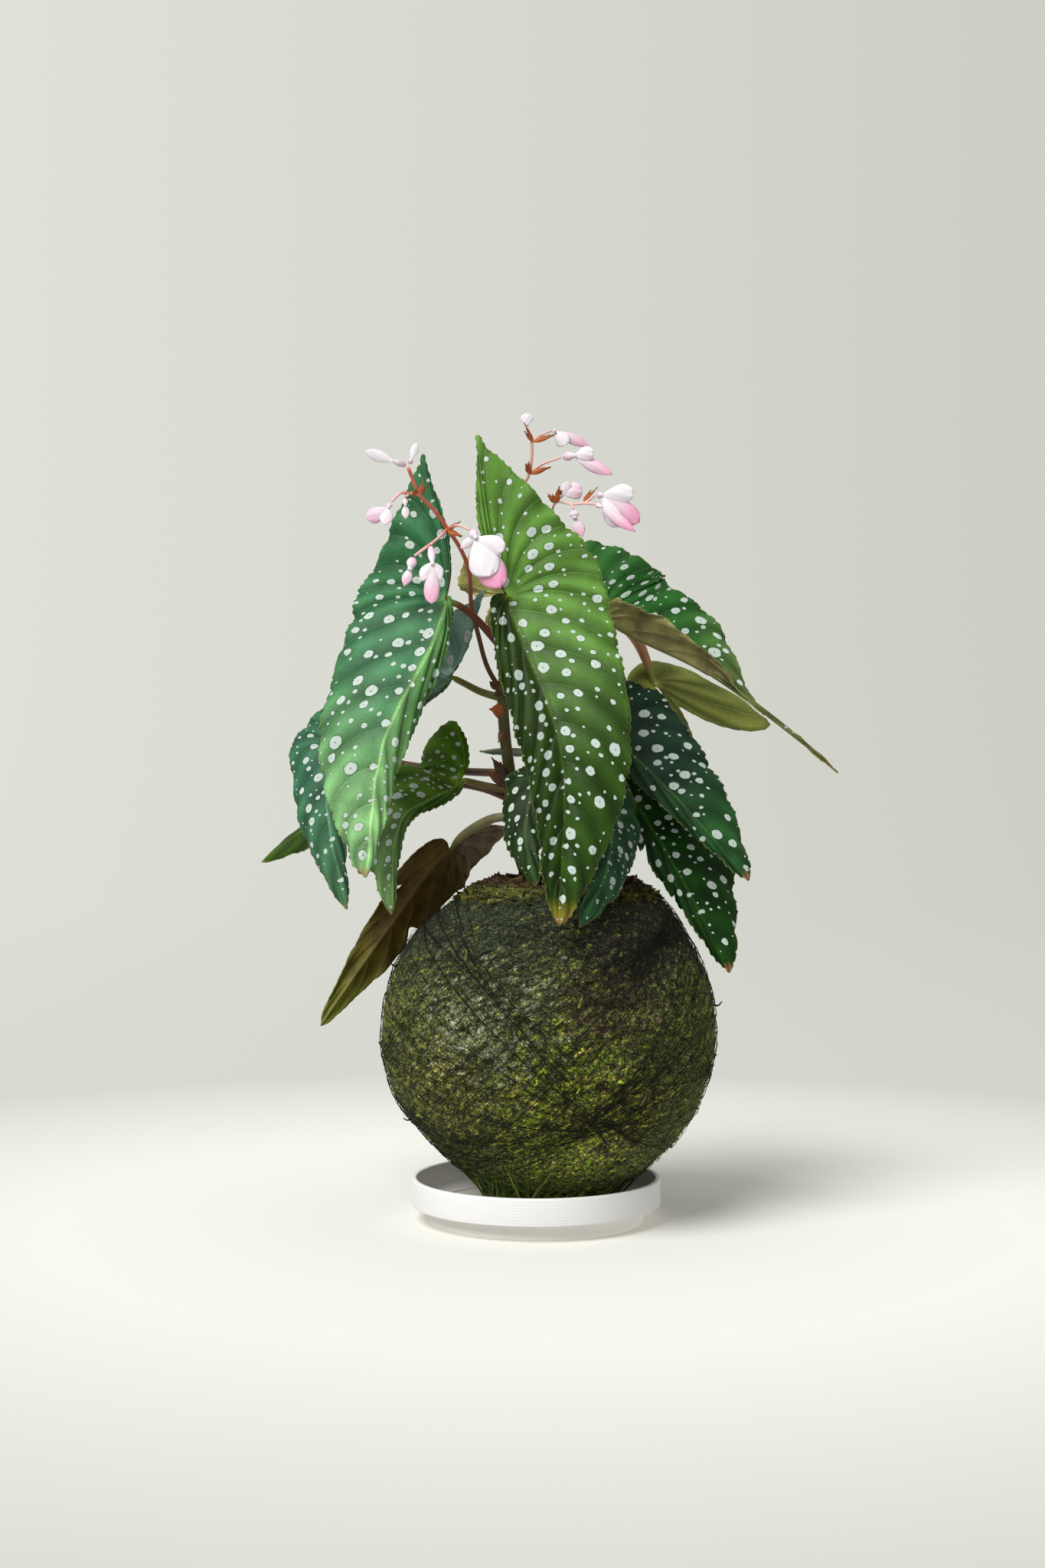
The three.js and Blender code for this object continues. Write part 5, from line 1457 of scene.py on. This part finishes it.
class KOKEDAMA_OT_canes(bpy.types.Operator):
    """Model the canes with their swollen nodes, scars and dry stipules"""
    bl_idname = "kokedama.canes"
    bl_label = "Canes"

    def execute(self, context):
        flower = context.scene.kokedama.flower
        bark = plant_matter("begonia_cane_bark", 0.5, 0.4, 0.9, 0.12, mottle=0.35)
        olive, brown, dark = linear("#5a5e2c"), linear("#4a4220"), linear("#180f08")
        for key, places in CANES.items():
            shape = new_shape()
            points = [at(place) for place in places]
            low, high = points[0].z, points[-1].z
            heights = [height * MM for height in CANE_NODES[key]]

            def near_node(share):
                height = low + (high - low) * share
                return max(0.0, 1 - min(abs(node - height) for node in heights) / CANE_NODE_REACH)

            def radius_at(share):
                taper = flower.cane_radius + (CANE_TOP_RADIUS - flower.cane_radius) * share
                return taper * (1 + 0.45 * near_node(share) ** 1.5)

            def colour_at(share):
                return mixed(mixed(brown, olive, 0.5 + 0.5 * math.sin(17 * share)), dark,
                             0.8 * near_node(share) ** 2)

            tube(shape, points, radius_at, 14, 120, colour_at)
            # Two dry stipules stand at each node
            curve = even_path(points, 60)
            dice = random.Random(len(key))
            for node in heights:
                foot = min(curve, key=lambda point: abs(point.z - node))
                for _ in range(2):
                    turn = dice.uniform(0, 2 * math.pi)
                    out = level_way(turn)
                    base = foot + out * 2.2 * MM
                    tip = base + out * 4 * MM + Vector((0, 0, dice.uniform(3, 7) * MM))
                    add_petal(shape, base, tip, 3 * MM, SCALE_THICKNESS, linear("#5a3216"),
                              linear("#3a2010"))
            for base, tip, width, tone in STIPULES[key]:
                add_petal(shape, at(base), at(tip), width * MM, SCALE_THICKNESS, linear(tone),
                          shift_colour(linear(tone), 0.4), roundness=0.7)
            make_piece(shape, f"begonia_cane_{key}", [bark], "cane_bark", [f"cane_{key}"])
        return {"FINISHED"}


class KOKEDAMA_OT_leaves(bpy.types.Operator):
    """Model every leaf: quilted, toothed blade and petiole"""
    bl_idname = "kokedama.leaves"
    bl_label = "Leaves"

    def execute(self, context):
        leaf_settings = context.scene.kokedama.leaf
        flower = context.scene.kokedama.flower
        materials = [leaf_upper(leaf_settings), leaf_under(),
                     plant_matter("begonia_petiole_skin", 0.5, 0.4, 1.2, 0.08)]
        for seed, leaf in enumerate(LEAVES):
            shape = new_shape()
            colour = linear(leaf["colours"][4])
            swell = leaf.get("swell", 0)
            # The petiole starts just behind the joint
            path = [at(leaf["joint"]), *[at(place) for place in leaf["stem"]]]
            path[0] = path[0] + (path[1] - path[0]).normalized() * 0.5 * MM

            # Thin at the joint, thicker towards the cane
            def radius_at(share):
                neck = 0.5 + 0.4 * float(ramp(share, 0, 0.12))
                return flower.petiole_radius * (neck + 0.35 * share + swell * math.sin(math.pi * share))

            # Its first stretch is as green as a midrib
            def colour_at(share):
                return mixed(linear("#7f8f40"), shift_colour(colour, 0.35 - 0.5 * share),
                             float(ramp(share, 0.04, 0.2)))

            tube(shape, path, radius_at, 10, 24, colour_at, material=2)
            add_blade(shape, leaf, seed + 1, leaf_settings)
            make_piece(shape, f"begonia_{leaf['name']}", materials, "leaf", [leaf["name"]])
        return {"FINISHED"}


class KOKEDAMA_OT_flowers(bpy.types.Operator):
    """Model the flower stalks with their dry bracts, and every bloom and bud"""
    bl_idname = "kokedama.flowers"
    bl_label = "Flowers"

    def execute(self, context):
        flower = context.scene.kokedama.flower
        fleshy = plant_matter("begonia_flower_stalk", 0.45, 0.45, 0.8, 0.05, mottle=0.15)
        papery = plant_matter("begonia_petal", 0.55, 0.4, 0.5, 0.03, mottle=0.04)
        pale = linear("#f6c4bc")
        pedicel_radius = 0.7 * MM
        for key, stalk in STALKS.items():
            shape = new_shape()
            low, high = (linear(text) for text in stalk["colours"])
            slender = stalk["slender"]
            tube(shape, [at(place) for place in stalk["stem"]],
                 lambda share: flower.stalk_radius * slender * (1.2 - 0.4 * share), 10, 70,
                 lambda share: mixed(low, high, float(ramp(share, 0.2, 0.65))))
            for path in stalk["branches"]:
                tube(shape, [at(place) for place in path],
                     lambda share: pedicel_radius * slender * (1.05 - 0.2 * share), 8, 20,
                     lambda share: mixed(high, pale, float(ramp(share, 0.0, 0.6))))
            dice = random.Random(4)
            for base, tip in stalk["bracts"]:
                # A dry bract is torn into a few narrow curled points
                for _ in range(3):
                    torn = any_way(dice) * 1.3 * MM
                    add_petal(shape, at(base), at(tip) + torn, dice.uniform(1.1, 2.5) * MM,
                              SCALE_THICKNESS, linear("#b5622a"),
                              linear(dice.choice(("#8a4418", "#a0561f", "#74380f"))), roundness=0.75)
            make_piece(shape, f"begonia_flower_stalk_{key}", [fleshy], "flower_stalk",
                       [f"flower_stalk_{key}"])
        for bloom in BLOOMS:
            self.add_bloom(bloom, flower, papery)
        return {"FINISHED"}

    def add_bloom(self, bloom, flower, papery):
        """One bloom or bud: its seed pod and its petals."""
        shape = new_shape()
        base, ovary = at(bloom["base"]), at(bloom["ovary"])
        width = bloom["width"] * MM
        blush = mixed(flower.white, flower.pink, 0.55)
        tube(shape, [base, base.lerp(ovary, 0.6), ovary],
             lambda share: width / 2 * (0.3 + 0.7 * math.sin(math.pi * min(share + 0.08, 0.9))), 12, 12,
             lambda share: mixed(blush, flower.white, share))
        start = base.lerp(ovary, 0.85)
        for tip, spread, pinkness in bloom["petals"]:
            end = mixed(flower.white, flower.pink, pinkness)
            root = mixed(flower.white, end, 0.25)
            add_petal(shape, start, at(tip), spread * MM, flower.petal_thickness, root, end,
                      roundness=1.7 if spread > 6.5 else 1.1)
        make_piece(shape, f"begonia_{bloom['name']}", [papery], "petal", [bloom["name"]])


class KOKEDAMA_OT_stage(bpy.types.Operator):
    """Set the floor, the light and the camera"""
    bl_idname = "kokedama.stage"
    bl_label = "Stage"

    def execute(self, context):
        stage = context.scene.kokedama.stage
        # A flat floor just under the saucer, rounded up into a wall, in metres
        floor_radius, cove_radius, wall_height, cove_steps = 2.2, 0.8, 3.4, 12
        angles = [k * math.pi / (2 * cove_steps) for k in range(cove_steps + 1)]
        cove = [(floor_radius + cove_radius * math.sin(angle), cove_radius - cove_radius * math.cos(angle))
                for angle in angles]
        wall_top = (floor_radius + cove_radius, wall_height)
        shape = lathe([(0, 0), *cove, wall_top], steps=96, closed=False)
        bmesh.ops.translate(shape, verts=shape.verts, vec=(0, 0, -0.1 * MM))
        backdrop = make_piece(shape, "pale_floor", [matt_paint(stage)])
        # Light from the sky passes the wall, which keeps the light even and the render quick
        backdrop.visible_diffuse = False
        backdrop.visible_shadow = False
        lamp = bpy.data.objects.new("key_light", bpy.data.lights.new("key_light", "SUN"))
        lamp.data.energy = stage.key
        lamp.data.angle = SUN_WIDTH
        lamp.rotation_euler = SUN_DIRECTION.to_track_quat("-Z", "Y").to_euler()
        context.scene.collection.objects.link(lamp)
        context.scene.world = self.soft_sky(stage)
        context.scene.view_settings.view_transform = "Standard"
        camera = bpy.data.objects.new("camera", bpy.data.cameras.new("camera"))
        camera.data.lens = CAMERA_LENS
        camera.data.sensor_width = CAMERA_SENSOR
        camera.location = CAMERA_PLACE
        camera.rotation_euler = (math.radians(90), 0, 0)
        context.scene.collection.objects.link(camera)
        context.scene.camera = camera
        return {"FINISHED"}

    def soft_sky(self, stage):
        """An even light that is brightest overhead and weakest from below."""
        world = bpy.data.worlds.new("soft_daylight")
        world.use_nodes = True
        tree = world.node_tree
        up = add_node(tree, "SeparateXYZ", inputs={0: add_node(tree, "TexCoord").outputs["Generated"]})
        top = add_node(tree, "MapRange", inputs={0: up.outputs[2], 1: 0.0, 2: 1.0, 3: stage.around,
                                                 4: stage.above})
        both = add_node(tree, "MapRange", inputs={0: up.outputs[2], 1: -1.0, 2: 0.0,
                                                  3: stage.below - stage.around, 4: 0.0})
        strength = add_node(tree, "Math", {"operation": "ADD"}, {0: top.outputs[0], 1: both.outputs[0]})
        tree.nodes["Background"].inputs["Color"].default_value = linear("#f6f5f1")
        tree.links.new(strength.outputs[0], tree.nodes["Background"].inputs["Strength"])
        return world


OPERATORS = (KOKEDAMA_OT_stage, KOKEDAMA_OT_saucer, KOKEDAMA_OT_moss, KOKEDAMA_OT_soil, KOKEDAMA_OT_thread,
             KOKEDAMA_OT_canes, KOKEDAMA_OT_leaves, KOKEDAMA_OT_flowers)


class KOKEDAMA_PT_panel(bpy.types.Panel):
    """The pieces of the kokedama and their settings"""
    bl_idname = "KOKEDAMA_PT_panel"
    bl_label = "Kokedama"
    bl_space_type = "VIEW_3D"
    bl_region_type = "UI"
    bl_category = "Kokedama"

    def draw(self, context):
        settings = context.scene.kokedama
        for part in ("saucer", "ball", "leaf", "flower", "stage"):
            box = self.layout.box()
            group = getattr(settings, part)
            for name in group.__annotations__:
                box.prop(group, name)
        for operator in OPERATORS:
            self.layout.operator(operator.bl_idname)


CLASSES = (SaucerSettings, BallSettings, LeafSettings, FlowerSettings, StageSettings, KokedamaSettings,
           *OPERATORS, KOKEDAMA_PT_panel)


def register():
    """Adds the classes and the scene's settings."""
    for item in CLASSES:
        bpy.utils.register_class(item)
    bpy.types.Scene.kokedama = PointerProperty(type=KokedamaSettings)


def unregister():
    """Takes the classes and the settings away again."""
    del bpy.types.Scene.kokedama
    for item in reversed(CLASSES):
        bpy.utils.unregister_class(item)


def main():
    """Makes every piece in order."""
    register()
    for operator in OPERATORS:
        getattr(bpy.ops.kokedama, operator.bl_idname.split(".")[1])()
    boxes = {"cad": CAD_BOX, "visual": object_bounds()}
    {key: [list(corner) for corner in box] for key, box in boxes.items()}


if __name__ == "__main__":
    main()
